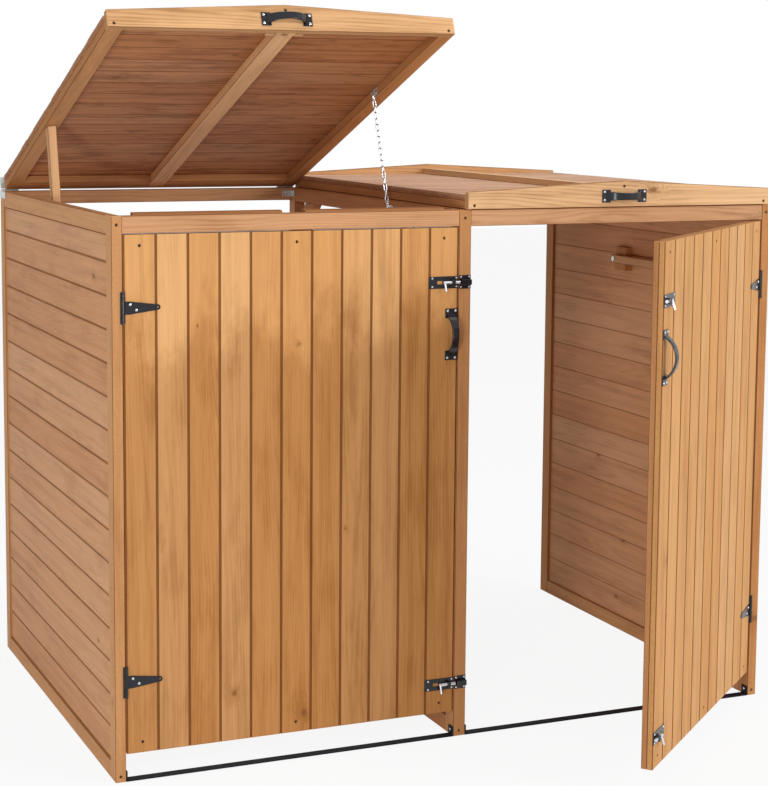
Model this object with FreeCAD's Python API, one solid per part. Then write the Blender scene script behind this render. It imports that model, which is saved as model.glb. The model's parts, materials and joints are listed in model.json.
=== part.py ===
import FreeCAD, Part
import math
import os

# Garden store for two wheeled bins, in mm. X runs left to right, -Y is the front, Z is up.
# While drawing, x = 0 is the left side, y = 0 the front and z = 0 the ground.
# The saved pieces have their origin on the ground at the middle of the footprint.

# Overall size of the frame
WIDTH = 1540.0
DEPTH = 1030.0
HEIGHT = 1150.0

# Frame timbers
SIDE_POST_W = 22.0
CENTRE_POST_W = 28.0
POST_D = 40.0
WALL_TOP_RAIL_H = 38.0
BOTTOM_RAIL_H = 36.0
CENTRE_TOP_RAIL_H = 35.0
FRONT_RAIL_H = 35.0
BACK_RAIL_H = 32.0
CROSS_RAIL_T = 22.0
STRIP_T = 18.0
STRIP_H = 39.0
STRIP_RISE = 5.0
STRIP_CLEAR = 4.0
BRACE_W = 48.0
BRACE_T = 20.0
BRACE_REACH = 101.0

# Matched boards
BOARD_T = 12.0
WALL_BOARD_PITCH = 68.0
WALL_RECESS = 4.0
DOOR_BOARD_COUNT = 11
ROOF_BOARD_COUNT = 15
FRONT_V = 2.4
BACK_V = 1.0
TONGUE_L = 5.0
TONGUE_T = 3.6
TONGUE_MID = 6.6
TONGUE_PLAY = 0.3
LEAST_BOARD = 8.0

# Doors
DOOR_BOTTOM = 58.0
DOOR_TOP_GAP = 2.0
DOOR_SIDE_GAP = 2.0
DOOR_FRAME_T = 12.0
DOOR_STILE_W = 44.0
DOOR_LEDGE_H = 58.0
DOOR_SCREW_INSET = 22.0
RIGHT_DOOR_ANGLE = 41.2

# Door hinges
BARREL_R = 3.0
BARREL_PLAY = 0.2
PIN_R = 1.5
PIN_PLAY = 0.06
KNUCKLE_GAP = 0.5
LEAF_H = 64.0
LEAF_W = 2.5
LEAF_T = 1.5
LEAF_CLEAR = 0.5
STRAP_L = 76.0
STRAP_T = 2.0
STRAP_ROOT_H = 26.0
STRAP_ROOT_L = 12.0
STRAP_TIP_R = 5.5
STRAP_SCREW_1 = (14.0, 6.8)
STRAP_SCREW_2 = (26.7, -4.5)
STRAP_HOLE_R = 2.2
UPPER_HINGE_DROP = 182.0
LOWER_HINGE_Z = 208.0

# Bow handles
HANDLE_L = 110.0
HANDLE_W = 28.0
HANDLE_PAD_L = 20.0
HANDLE_PAD_T = 2.0
HANDLE_RISE = 27.0
HANDLE_BAR_T = 4.5
HANDLE_FOOT_W = 21.0
HANDLE_WAIST = 15.0
HANDLE_ROUND = 1.8
DOOR_HANDLE_DROP = 264.0
DOOR_HANDLE_INSET = 15.0
LID_HANDLE_RISE = 24.0

# Slide bolts
BOLT_PLATE_L = 68.0
BOLT_PLATE_H = 26.0
BOLT_PLATE_T = 1.5
BOLT_PLATE_INSET = 0.5
BOLT_SLOT_L = 12.0
BOLT_SLOT_H = 7.0
BOLT_SLOT_GAP = 0.5
BOLT_R = 3.4
BOLT_OUT = 6.0
BOLT_THROW = 11.0
BOLT_STAND_OFF = 2.0
BOLT_L = 39.0
BOLT_END_CHAMFER = 0.8
KNOB_R = 2.6
KNOB_L = 20.0
KNOB_LEAN = 0.35
KNOB_CLEAR = 2.5
GUIDE_L = 7.0
BRIDGE_T = 1.6
BRIDGE_PLAY = 0.7
UPPER_BOLT_DROP = 153.0
LOWER_BOLT_Z = 121.5
KEEPER_W = 27.0
KEEPER_H = 29.0
KEEPER_LOOP_W = 23.0

# Lids
LID_EDGE_GAP = 12.0
LID_MID_GAP = 2.0
LID_GAP = 1.0
LID_OPEN = 20.65
FASCIA_T = 16.0
FASCIA_OVERHANG = 10.0
FASCIA_END_H = 37.0
FASCIA_APEX_H = 57.0
FASCIA_SCREW_INSET = 14.0
FASCIA_SCREW_RISE = 8.0
FASCIA_TOP_SCREW_DROP = 12.0
LID_RAIL_W = 34.0
LID_RAIL_H = 19.0
BEAM_W = 42.0
BEAM_BLOCK_W = 20.0
BEAM_BLOCK_D = 15.0
ROOF_OVERHANG = 2.0
ROOF_RAGGED = 0.6
RAGGED_STEP = 2.4
RIDGE_W = 36.0
RIDGE_H = 14.0

# Lid hinges
LID_BARREL_R = 3.5
LID_BARREL_BACK = 4.0
LID_LEAF_W = 44.0
LID_LEAF_H = 34.0
LID_LEAF_T = 1.8
LID_LEAF_GAP = 4.0
LID_KNUCKLE_W = 20.0
LID_LEAF_OVERHANG = 11.0
LID_LEAF_INSET = 2.0
LID_LEAF_SCREW_Z = 20.0

# Prop sticks
PROP_W = 20.0
PROP_T = 20.0
PROP_L = 335.0
PROP_TAIL = 14.0
PROP_Y = 604.0
PROP_LEAN = 3.2
PROP_TOP_GAP = 0.5
PROP_TOP_X = 26.5
PROP_BLOCK_W = 56.0
PROP_BLOCK_H = 60.0
PROP_BLOCK_GAP = 1.2
PROP_SCREW_R = 3.0
PROP_SCREW_GRIP = 12.0
PROP_SCREW_HEAD_R = 6.5
PROP_SCREW_HEAD_T = 2.0
PROP_SCREW_END_PLAY = 0.5

# Stay chains
CHAIN_Y = 362.0
CHAIN_LOW_Y = 366.0
CHAIN_LOW_DROP = 19.0
CHAIN_PLATE_L = 28.0
CHAIN_PLATE_H = 17.0
CHAIN_LINKS = 19
LINK_WIRE = 2.4
LINK_W = 6.6
LINK_PLAY = 0.3
EYE_REACH = 9.0
EYE_T = 1.8
EYE_H = 8.2
EYE_R = 2.9
EYE_INSET = 4.2
EYE_PLAY = 0.8
LOOP_STEPS = 24

# Ground bars and joining plates
BAR_W = 20.0
BAR_T = 3.0
BAR_TAB_H = 22.0
BAR_SCREW_DROP = 8.0
PLATE_T = 1.5
OUTER_PLATE_L = 56.0
OUTER_PLATE_H = 17.0
INNER_PLATE_L = 30.0
INNER_PLATE_H = 16.0
INNER_PLATE_DROP = 7.0
INNER_PLATE_SCREW_X = 18.0

# Screws
SCREW_R = 2.8
SMALL_SCREW_R = 2.3
SCREW_HEAD_H = 1.4
SCREW_ROUND = 0.8
SCREW_EDGE = 5.0
SMALL_SCREW_EDGE = 4.0
SUNK_R = 3.4
SUNK_DEPTH = 4.0
SUNK_HEAD_R = 3.1
SUNK_HEAD_H = 1.0
POST_SCREW_LOW_Z = 12.0

V = FreeCAD.Vector
X_AXIS = V(1, 0, 0)
Y_AXIS = V(0, 1, 0)
Z_AXIS = V(0, 0, 1)
OUT_FRONT = V(0, -1, 0)
OUT_BACK = V(0, 1, 0)
TO_LEFT = V(-1, 0, 0)
TO_RIGHT = V(1, 0, 0)

# Places that follow from the sizes above
MID_X = WIDTH / 2.0
CENTRE_X0 = MID_X - CENTRE_POST_W / 2.0
CENTRE_X1 = MID_X + CENTRE_POST_W / 2.0
INNER_Y0 = POST_D
INNER_Y1 = DEPTH - POST_D
BACK_RAIL_Y = DEPTH - CROSS_RAIL_T
BOARDS_INNER_X = WALL_RECESS + BOARD_T
LID_X0 = LID_EDGE_GAP
LID_X1 = MID_X - LID_MID_GAP
LID_MID = (LID_X0 + LID_X1) / 2.0
BEAM_X0 = LID_MID - BEAM_W / 2.0
BEAM_X1 = LID_MID + BEAM_W / 2.0
LID_Z = HEIGHT + LID_GAP
LID_FRONT = -FASCIA_OVERHANG
LID_Y0 = LID_FRONT + FASCIA_T
LID_Y1 = DEPTH - FASCIA_T
ROOF_Z = LID_Z + LID_RAIL_H
CHAIN_RAIL_X = LID_X1 - LID_RAIL_W
CHAIN_HIGH_Z = LID_Z + LID_RAIL_H / 2.0
CHAIN_LOW_Z = HEIGHT - CHAIN_LOW_DROP
EYE_DROP = (CHAIN_PLATE_H - EYE_H) / 2.0
LID_HINGE_Y = DEPTH + LID_BARREL_BACK
LID_HINGE_Z = HEIGHT + LID_GAP / 2.0
HINGE_X = SIDE_POST_W + DOOR_SIDE_GAP / 2.0
HINGE_Y = -BARREL_R - BARREL_PLAY
DOOR_X0 = SIDE_POST_W + DOOR_SIDE_GAP
DOOR_X1 = CENTRE_X0 - DOOR_SIDE_GAP
DOOR_TOP = HEIGHT - FRONT_RAIL_H - DOOR_TOP_GAP
DOOR_PITCH = (DOOR_X1 - DOOR_X0) / DOOR_BOARD_COUNT
UPPER_HINGE_Z = HEIGHT - UPPER_HINGE_DROP
DOOR_HANDLE_Z = HEIGHT - DOOR_HANDLE_DROP
UPPER_BOLT_Z = HEIGHT - UPPER_BOLT_DROP
BOLT_Y = -BOLT_OUT
BOLT_START = MID_X - KEEPER_LOOP_W / 2.0 - BOLT_STAND_OFF - BOLT_L
KNOB_X = BOLT_START + BOLT_END_CHAMFER + KNOB_R
GUIDE_X = KNOB_X + KNOB_R + BOLT_THROW + KNOB_CLEAR
BOLT_PLATE_X1 = DOOR_X1 - BOLT_PLATE_INSET
BOLT_PLATE_X0 = BOLT_PLATE_X1 - BOLT_PLATE_L
OUTER_PLATE_Z = HEIGHT - OUTER_PLATE_H / 2.0
INNER_PLATE_Z = HEIGHT - INNER_PLATE_DROP - INNER_PLATE_H / 2.0
LID_PIVOT = V(0, LID_HINGE_Y, LID_HINGE_Z)
RIGHT_DOOR_PIVOT = V(WIDTH - HINGE_X, HINGE_Y, 0)
SHIFT = V(-WIDTH / 2.0, -DEPTH / 2.0, 0)


# Drawing helpers

def box(x0, x1, y0, y1, z0, z1):
    return Part.makeBox(x1 - x0, y1 - y0, z1 - z0, V(x0, y0, z0))


def rod(start, axis, radius, length):
    return Part.makeCylinder(radius, length, start, axis)


def extruded(edges, direction):
    return Part.Face(Part.Wire(edges)).extrude(direction)


def prism(points, direction):
    return Part.Face(Part.makePolygon(points + [points[0]])).extrude(direction)


def line(start, end):
    return Part.makeLine(start, end)


def arc(start, middle, end):
    return Part.Arc(start, middle, end).toShape()


def fuse(shapes):
    joined = shapes[0]
    for other in shapes[1:]:
        joined = joined.fuse(other)
    return joined.removeSplitter()


def turned(shape, centre, axis, degrees):
    copy = shape.copy()
    copy.rotate(centre, axis, degrees)
    return copy


def moved(shapes, by):
    made = []
    for shape in shapes:
        copy = shape.copy()
        copy.translate(by)
        made.append(copy)
    return made


def mirrored(shapes):
    return [shape.mirror(V(MID_X, 0, 0), X_AXIS) for shape in shapes]


def both(shapes):
    return shapes + mirrored(shapes)


def save(name, solids):
    parts = moved(solids, SHIFT)
    shape = parts[0] if len(parts) == 1 else Part.makeCompound(parts)
    shape.exportStep("parts/" + name + ".step")


def screw_head(at, out, radius=SCREW_R):
    # A low round head that stands on a face at the point, towards out.
    disc = rod(at, out, radius, SCREW_HEAD_H)
    rim = [e for e in disc.Edges if e.Closed and (e.CenterOfMass - at).dot(out) > SCREW_HEAD_H / 2]
    return disc.makeFillet(SCREW_ROUND, rim)


def sunk_hole(shape, at, inward):
    return shape.cut(rod(at, inward, SUNK_R, SUNK_DEPTH))


def sunk_head(at, inward):
    # The head of a screw at the bottom of its sunk hole.
    return rod(at + inward * (SUNK_DEPTH - SUNK_HEAD_H), inward, SUNK_HEAD_R, SUNK_HEAD_H)


def board(length, width, tongue, groove):
    # One matched board. The section lies in the XY plane: x is its width, y = 0 its show face.
    low = TONGUE_MID - TONGUE_T / 2.0
    high = TONGUE_MID + TONGUE_T / 2.0
    outline = [(0, FRONT_V), (FRONT_V, 0), (width - FRONT_V, 0), (width, FRONT_V)]
    if tongue:
        tip = width + TONGUE_L
        outline += [(width, low), (tip, low), (tip, high), (width, high)]
    back = BOARD_T - BACK_V
    outline += [(width, back), (width - BACK_V, BOARD_T), (BACK_V, BOARD_T), (0, back)]
    if groove:
        deep = TONGUE_L + TONGUE_PLAY
        low -= TONGUE_PLAY
        high += TONGUE_PLAY
        outline += [(0, high), (deep, high), (deep, low), (0, low)]
    return prism([V(a, b, 0) for a, b in outline], V(0, 0, length))


def laid(shape, origin, across, inward):
    # Turns a drawn board so that its width runs along across and its thickness along inward.
    along = across.cross(inward)
    matrix = FreeCAD.Matrix(
        across.x, inward.x, along.x, origin.x,
        across.y, inward.y, along.y, origin.y,
        across.z, inward.z, along.z, origin.z,
        0, 0, 0, 1,
    )
    copy = shape.copy()
    copy.Placement = FreeCAD.Placement(matrix)
    return copy


# Frame of the store, the left half where it is mirrored

def post_screw_points(x0, width):
    return [V(x0 + width / 2.0, 0, z) for z in (HEIGHT - FRONT_RAIL_H / 2.0, POST_SCREW_LOW_Z)]


def posts(x0, width):
    front = box(x0, x0 + width, 0, POST_D, 0, HEIGHT)
    for at in post_screw_points(x0, width):
        front = sunk_hole(front, at, Y_AXIS)
    return [front, box(x0, x0 + width, INNER_Y1, DEPTH, 0, HEIGHT)]


def wall_rails():
    top = box(0, SIDE_POST_W, INNER_Y0, INNER_Y1, HEIGHT - WALL_TOP_RAIL_H, HEIGHT)
    bottom = box(0, SIDE_POST_W, INNER_Y0, INNER_Y1, 0, BOTTOM_RAIL_H)
    return [top, bottom]


def wall_boards():
    # Laid from the bottom rail up. The last one is cut to the height that is left.
    made = []
    z = BOTTOM_RAIL_H
    top = HEIGHT - WALL_TOP_RAIL_H
    while top - z > LEAST_BOARD:
        width = min(WALL_BOARD_PITCH, top - z)
        last = top - z - width < LEAST_BOARD
        shape = board(INNER_Y1 - INNER_Y0, width, not last, z > BOTTOM_RAIL_H)
        made.append(laid(shape, V(WALL_RECESS, INNER_Y0, z), Z_AXIS, X_AXIS))
        z += width
    return made


def centre_rails():
    top = box(CENTRE_X0, CENTRE_X1, INNER_Y0, INNER_Y1, HEIGHT - CENTRE_TOP_RAIL_H, HEIGHT)
    bottom = box(CENTRE_X0, CENTRE_X1, INNER_Y0, INNER_Y1, 0, BOTTOM_RAIL_H)
    return [top, bottom]


def centre_brace():
    # Runs at 45 degrees from the centre back post up to the centre top rail.
    x0 = MID_X - BRACE_T / 2.0
    top = HEIGHT - CENTRE_TOP_RAIL_H
    half = BRACE_W * math.sqrt(2) / 2.0
    near = BRACE_REACH - half
    far = BRACE_REACH + half
    points = [
        V(x0, INNER_Y1, top - far),
        V(x0, INNER_Y1, top - near),
        V(x0, INNER_Y1 - near, top),
        V(x0, INNER_Y1 - far, top),
    ]
    return prism(points, V(BRACE_T, 0, 0))


def cross_rail(y0, height):
    return box(SIDE_POST_W, CENTRE_X0, y0, y0 + CROSS_RAIL_T, HEIGHT - height, HEIGHT)


def front_strips():
    # Two strips behind the front rail that fill the gap under the lid between its timbers.
    z1 = HEIGHT + STRIP_RISE
    made = []
    for a, b in (
        (LID_X0 + LID_RAIL_W + STRIP_CLEAR, BEAM_X0 - STRIP_CLEAR),
        (BEAM_X1 + STRIP_CLEAR, LID_X1 - LID_RAIL_W - STRIP_CLEAR),
    ):
        made.append(box(a, b, CROSS_RAIL_T, CROSS_RAIL_T + STRIP_T, z1 - STRIP_H, z1))
    return made


def ground_bar():
    # Flat steel from post to post, with both ends bent up.
    flat = box(SIDE_POST_W, CENTRE_X0, 0, BAR_W, 0, BAR_T)
    left = box(SIDE_POST_W, SIDE_POST_W + BAR_T, 0, BAR_W, 0, BAR_TAB_H)
    right = box(CENTRE_X0 - BAR_T, CENTRE_X0, 0, BAR_W, 0, BAR_TAB_H)
    return fuse([flat, left, right])


def outer_plate():
    half = OUTER_PLATE_H / 2.0
    return box(-PLATE_T, 0, DEPTH - OUTER_PLATE_L, DEPTH, OUTER_PLATE_Z - half, OUTER_PLATE_Z + half)


def inner_plate():
    # Bent plate in the corner of the back rail and the centre back post.
    z0 = INNER_PLATE_Z - INNER_PLATE_H / 2.0
    z1 = z0 + INNER_PLATE_H
    on_rail = box(CENTRE_X0 - INNER_PLATE_L, CENTRE_X0, BACK_RAIL_Y - PLATE_T, BACK_RAIL_Y, z0, z1)
    on_post = box(CENTRE_X0 - PLATE_T, CENTRE_X0, INNER_Y1, BACK_RAIL_Y, z0, z1)
    return fuse([on_rail, on_post])


# Door hinges

def hinge_leaf(z):
    # The leaf on the post, with a knuckle above and below the strap, and the pin.
    half = LEAF_H / 2.0
    reach = STRAP_ROOT_H / 2.0 + KNUCKLE_GAP
    edge = HINGE_X - BARREL_R - LEAF_CLEAR
    parts = [box(edge - LEAF_W, edge, -LEAF_T, 0, z - half, z + half)]
    for a, b in ((z - half, z - reach), (z + reach, z + half)):
        parts.append(rod(V(HINGE_X, HINGE_Y, a), Z_AXIS, BARREL_R, b - a))
        parts.append(box(edge, SIDE_POST_W, HINGE_Y, 0, a, b))
    parts.append(rod(V(HINGE_X, HINGE_Y, z - half), Z_AXIS, PIN_R, LEAF_H))
    return fuse(parts)


def hinge_strap(z):
    # A tapered strap with a round tip and an empty hole in it, and the middle knuckle.
    y = -STRAP_T
    half = STRAP_ROOT_H / 2.0
    root = HINGE_X + STRAP_ROOT_L
    tip = HINGE_X + STRAP_L - STRAP_TIP_R
    plate = extruded([
        line(V(DOOR_X0, y, z + half), V(DOOR_X0, y, z - half)),
        line(V(DOOR_X0, y, z - half), V(root, y, z - half)),
        line(V(root, y, z - half), V(tip, y, z - STRAP_TIP_R)),
        arc(V(tip, y, z - STRAP_TIP_R), V(tip + STRAP_TIP_R, y, z), V(tip, y, z + STRAP_TIP_R)),
        line(V(tip, y, z + STRAP_TIP_R), V(root, y, z + half)),
        line(V(root, y, z + half), V(DOOR_X0, y, z + half)),
    ], V(0, STRAP_T, 0))
    barrel = rod(V(HINGE_X, HINGE_Y, z - half), Z_AXIS, BARREL_R, STRAP_ROOT_H)
    bore = rod(V(HINGE_X, HINGE_Y, z - half), Z_AXIS, PIN_R + PIN_PLAY, STRAP_ROOT_H)
    hole = rod(V(tip, y, z), Y_AXIS, STRAP_HOLE_R, STRAP_T)
    return fuse([plate, barrel]).cut(bore).cut(hole)


def strap_screws(z):
    return [
        screw_head(V(HINGE_X + dx, -STRAP_T, z + dz), OUT_FRONT)
        for dx, dz in (STRAP_SCREW_1, STRAP_SCREW_2)
    ]


# Slide bolts, and the keeper that both doors share

def bridge(x0, x1, z):
    # Two legs and a front strap round the bolt rod.
    gap = BOLT_R + BRIDGE_PLAY
    outer = gap + BRIDGE_T
    front = BOLT_Y - outer
    back = -BOLT_PLATE_T
    return [
        box(x0, x1, front, back, z + gap, z + outer),
        box(x0, x1, front, back, z - outer, z - gap),
        box(x0, x1, front, front + BRIDGE_T, z - outer, z + outer),
    ]


def keeper(z):
    half = KEEPER_W / 2.0
    plate = box(MID_X - half, MID_X + half, -BOLT_PLATE_T, 0, z - KEEPER_H / 2.0, z + KEEPER_H / 2.0)
    loop = KEEPER_LOOP_W / 2.0
    return fuse([plate] + bridge(MID_X - loop, MID_X + loop, z))


def corner_screws(x0, x1, z, height):
    made = []
    for x in (x0 + SMALL_SCREW_EDGE, x1 - SMALL_SCREW_EDGE):
        for side in (-1, 1):
            high = z + side * (height / 2.0 - SMALL_SCREW_EDGE)
            made.append(screw_head(V(x, -BOLT_PLATE_T, high), OUT_FRONT, SMALL_SCREW_R))
    return made


def keeper_screws(z):
    return corner_screws(MID_X - KEEPER_W / 2.0, MID_X + KEEPER_W / 2.0, z, KEEPER_H)


def bolt_plate(z):
    half = BOLT_PLATE_H / 2.0
    plate = box(BOLT_PLATE_X0, BOLT_PLATE_X1, -BOLT_PLATE_T, 0, z - half, z + half)
    slot_x1 = BOLT_START - BOLT_SLOT_GAP
    tall = BOLT_SLOT_H / 2.0
    slot = box(slot_x1 - BOLT_SLOT_L, slot_x1, -BOLT_PLATE_T, 0, z - tall, z + tall)
    return fuse([plate.cut(slot)] + bridge(GUIDE_X, GUIDE_X + GUIDE_L, z))


def bolt_plate_screws(z):
    return corner_screws(BOLT_PLATE_X0 + SMALL_SCREW_EDGE, BOLT_PLATE_X1, z, BOLT_PLATE_H)


def bolt(z):
    bar = rod(V(BOLT_START, BOLT_Y, z), X_AXIS, BOLT_R, BOLT_L)
    bar = bar.makeChamfer(BOLT_END_CHAMFER, [e for e in bar.Edges if e.Closed])
    knob = rod(V(KNOB_X, BOLT_Y, z), V(0, -KNOB_LEAN, -1), KNOB_R, KNOB_L)
    return fuse([bar, knob])


# Bow handle, drawn along X with its back on the plane y = 0

def bow_handle():
    half = HANDLE_L / 2.0
    pads = []
    for a, b in ((-half, -half + HANDLE_PAD_L), (half - HANDLE_PAD_L, half)):
        pads.append(box(a, b, -HANDLE_PAD_T, 0, -HANDLE_W / 2.0, HANDLE_W / 2.0))
    foot = half - HANDLE_PAD_L / 2.0
    inner = foot - HANDLE_BAR_T
    low = -HANDLE_W / 2.0
    side = extruded([
        arc(V(-foot, 0, low), V(0, -HANDLE_RISE, low), V(foot, 0, low)),
        line(V(foot, 0, low), V(inner, 0, low)),
        arc(V(inner, 0, low), V(0, HANDLE_BAR_T - HANDLE_RISE, low), V(-inner, 0, low)),
        line(V(-inner, 0, low), V(-foot, 0, low)),
    ], V(0, 0, HANDLE_W))
    wide = HANDLE_FOOT_W / 2.0
    waist = HANDLE_WAIST / 2.0
    plan = extruded([
        arc(V(-foot, 0, wide), V(0, 0, waist), V(foot, 0, wide)),
        line(V(foot, 0, wide), V(foot, 0, -wide)),
        arc(V(foot, 0, -wide), V(0, 0, -waist), V(-foot, 0, -wide)),
        line(V(-foot, 0, -wide), V(-foot, 0, wide)),
    ], V(0, -HANDLE_RISE, 0))
    bow = side.common(plan)
    bow = bow.makeFillet(HANDLE_ROUND, [e for e in bow.Edges if e.BoundBox.YLength > HANDLE_BAR_T])
    return fuse(pads + [bow])


def handle_screws():
    made = []
    for x in (-1, 1):
        for z in (-1, 1):
            along = x * (HANDLE_L / 2.0 - SCREW_EDGE)
            across = z * (HANDLE_W / 2.0 - SCREW_EDGE)
            made.append(screw_head(V(along, -HANDLE_PAD_T, across), OUT_FRONT))
    return made


def on_door(shapes):
    at = V(DOOR_X1 - DOOR_HANDLE_INSET, 0, DOOR_HANDLE_Z)
    return moved([turned(s, V(0, 0, 0), Y_AXIS, 90) for s in shapes], at)


def on_fascia(shapes):
    return moved(shapes, V(LID_MID, LID_FRONT, LID_Z + LID_HANDLE_RISE))


# Doors, drawn shut in the left bay

def door_screw_points():
    made = []
    for i in (0, DOOR_BOARD_COUNT // 2, DOOR_BOARD_COUNT - 1):
        x = DOOR_X0 + (i + 0.5) * DOOR_PITCH
        for z in (DOOR_BOTTOM + DOOR_SCREW_INSET, DOOR_TOP - DOOR_SCREW_INSET):
            made.append(V(x, 0, z))
    return made


def door_boards():
    made = []
    for i in range(DOOR_BOARD_COUNT):
        x0 = DOOR_X0 + i * DOOR_PITCH
        shape = board(DOOR_TOP - DOOR_BOTTOM, DOOR_PITCH, i < DOOR_BOARD_COUNT - 1, i > 0)
        shape = laid(shape, V(x0, 0, DOOR_BOTTOM), X_AXIS, Y_AXIS)
        for at in door_screw_points():
            if x0 < at.x < x0 + DOOR_PITCH:
                shape = sunk_hole(shape, at, Y_AXIS)
        made.append(shape)
    return made


def door_frame():
    y0 = BOARD_T
    y1 = BOARD_T + DOOR_FRAME_T
    a = DOOR_X0 + DOOR_STILE_W
    b = DOOR_X1 - DOOR_STILE_W
    made = [
        box(DOOR_X0, a, y0, y1, DOOR_BOTTOM, DOOR_TOP),
        box(b, DOOR_X1, y0, y1, DOOR_BOTTOM, DOOR_TOP),
    ]
    middle = (DOOR_BOTTOM + DOOR_TOP - DOOR_LEDGE_H) / 2.0
    for z in (DOOR_BOTTOM, middle, DOOR_TOP - DOOR_LEDGE_H):
        made.append(box(a, b, y0, y1, z, z + DOOR_LEDGE_H))
    return made


def door_screws():
    made = on_door(handle_screws())
    for z in (UPPER_HINGE_Z, LOWER_HINGE_Z):
        made += strap_screws(z)
    for z in (UPPER_BOLT_Z, LOWER_BOLT_Z):
        made += bolt_plate_screws(z)
    return made + [sunk_head(at, Y_AXIS) for at in door_screw_points()]


# Lids, drawn shut over the left bay

def fascia(y0):
    points = [
        V(LID_X0, y0, LID_Z),
        V(LID_X1, y0, LID_Z),
        V(LID_X1, y0, LID_Z + FASCIA_END_H),
        V(LID_MID, y0, LID_Z + FASCIA_APEX_H),
        V(LID_X0, y0, LID_Z + FASCIA_END_H),
    ]
    return prism(points, V(0, FASCIA_T, 0))


def fascia_screw_points():
    low = LID_Z + FASCIA_SCREW_RISE
    return [
        V(LID_X0 + FASCIA_SCREW_INSET, LID_FRONT, low),
        V(LID_X1 - FASCIA_SCREW_INSET, LID_FRONT, low),
        V(LID_MID, LID_FRONT, LID_Z + FASCIA_APEX_H - FASCIA_TOP_SCREW_DROP),
    ]


def front_fascia():
    shape = fascia(LID_FRONT)
    for at in fascia_screw_points():
        shape = sunk_hole(shape, at, Y_AXIS)
    return shape


def lid_rails():
    left = LID_X0 + LID_RAIL_W
    right = LID_X1 - LID_RAIL_W
    y0 = LID_Y1 - LID_RAIL_W
    return [
        box(LID_X0, left, LID_Y0, LID_Y1, LID_Z, ROOF_Z),
        box(right, LID_X1, LID_Y0, LID_Y1, LID_Z, ROOF_Z),
        box(left, BEAM_X0, y0, LID_Y1, LID_Z, ROOF_Z),
        box(BEAM_X1, right, y0, LID_Y1, LID_Z, ROOF_Z),
    ]


def lid_beam():
    # The middle timber and the two small blocks that stiffen its front end.
    made = [box(BEAM_X0, BEAM_X1, LID_Y0, LID_Y1, LID_Z, ROOF_Z)]
    for x in (BEAM_X0 - BEAM_BLOCK_W, BEAM_X1):
        made.append(box(x, x + BEAM_BLOCK_W, LID_Y0, LID_Y0 + BEAM_BLOCK_D, LID_Z, ROOF_Z))
    return made


def roof_boards(seed):
    # The ends are slightly uneven.
    made = []
    pitch = (LID_Y1 - LID_Y0) / ROOF_BOARD_COUNT
    for i in range(ROOF_BOARD_COUNT):
        left = LID_X0 - ROOF_OVERHANG - ROOF_RAGGED * math.sin(i * RAGGED_STEP + seed)
        right = LID_X1 + ROOF_RAGGED / 2.0 * math.cos(i * RAGGED_STEP + seed)
        shape = board(right - left, pitch, i < ROOF_BOARD_COUNT - 1, i > 0)
        origin = V(right, LID_Y0 + i * pitch, ROOF_Z + BOARD_T)
        made.append(laid(shape, origin, Y_AXIS, V(0, 0, -1)))
    return made


def ridge_batten():
    half = RIDGE_W / 2.0
    z0 = ROOF_Z + BOARD_T
    return box(LID_MID - half, LID_MID + half, LID_Y0, LID_Y1, z0, z0 + RIDGE_H)


# Lid hinges, on the back of the frame

def lid_hinge_places():
    return (LID_X0 - LID_LEAF_OVERHANG, LID_X1 - LID_LEAF_W - LID_LEAF_INSET)


def fixed_lid_leaf(x0):
    side = (LID_LEAF_W - LID_KNUCKLE_W) / 2.0
    y1 = DEPTH + LID_LEAF_T
    top = LID_HINGE_Z - LID_LEAF_GAP
    parts = [box(x0, x0 + LID_LEAF_W, DEPTH, y1, LID_HINGE_Z - LID_LEAF_H, top)]
    for a in (x0, x0 + LID_LEAF_W - side):
        parts.append(box(a, a + side, DEPTH, y1, top, LID_HINGE_Z))
        parts.append(rod(V(a, LID_HINGE_Y, LID_HINGE_Z), X_AXIS, LID_BARREL_R, side))
    parts.append(rod(V(x0, LID_HINGE_Y, LID_HINGE_Z), X_AXIS, PIN_R, LID_LEAF_W))
    return fuse(parts)


def moving_lid_leaf(x0):
    side = (LID_LEAF_W - LID_KNUCKLE_W) / 2.0
    a = x0 + side + KNUCKLE_GAP
    wide = LID_KNUCKLE_W - 2 * KNUCKLE_GAP
    y1 = DEPTH + LID_LEAF_T
    bottom = LID_HINGE_Z + LID_LEAF_GAP
    top = LID_HINGE_Z + LID_LEAF_H
    plate = box(x0, x0 + LID_LEAF_W, DEPTH, y1, bottom, top)
    neck = box(a, a + wide, DEPTH, y1, LID_HINGE_Z, bottom)
    barrel = rod(V(a, LID_HINGE_Y, LID_HINGE_Z), X_AXIS, LID_BARREL_R, wide)
    bore = rod(V(a, LID_HINGE_Y, LID_HINGE_Z), X_AXIS, PIN_R + PIN_PLAY, wide)
    return fuse([plate, neck, barrel]).cut(bore)


def lid_leaf_screws(side):
    # side is 1 for the leaf on the lid and -1 for the leaf on the frame.
    made = []
    z = LID_HINGE_Z + side * LID_LEAF_SCREW_Z
    for x0 in lid_hinge_places():
        for x in (x0 + LID_LEAF_OVERHANG + SCREW_EDGE, x0 + LID_LEAF_W - SCREW_EDGE):
            made.append(screw_head(V(x, DEPTH + LID_LEAF_T, z), OUT_BACK))
    return made


# Stay chain, for the left bay

def eye(at):
    # A small lug with a hole, standing out to the left.
    tip = at.x - EYE_REACH
    half = EYE_T / 2.0
    tall = EYE_H / 2.0
    lug = box(tip, at.x, at.y - half, at.y + half, at.z - tall, at.z + tall)
    return lug.cut(rod(V(tip + EYE_INSET, at.y - half, at.z), Y_AXIS, EYE_R, EYE_T))


def eye_plate(face, y, z, eye_z):
    half = CHAIN_PLATE_L / 2.0
    tall = CHAIN_PLATE_H / 2.0
    plate = box(face - PLATE_T, face, y - half, y + half, z - tall, z + tall)
    return fuse([plate, eye(V(face - PLATE_T, y, eye_z))])


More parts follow.
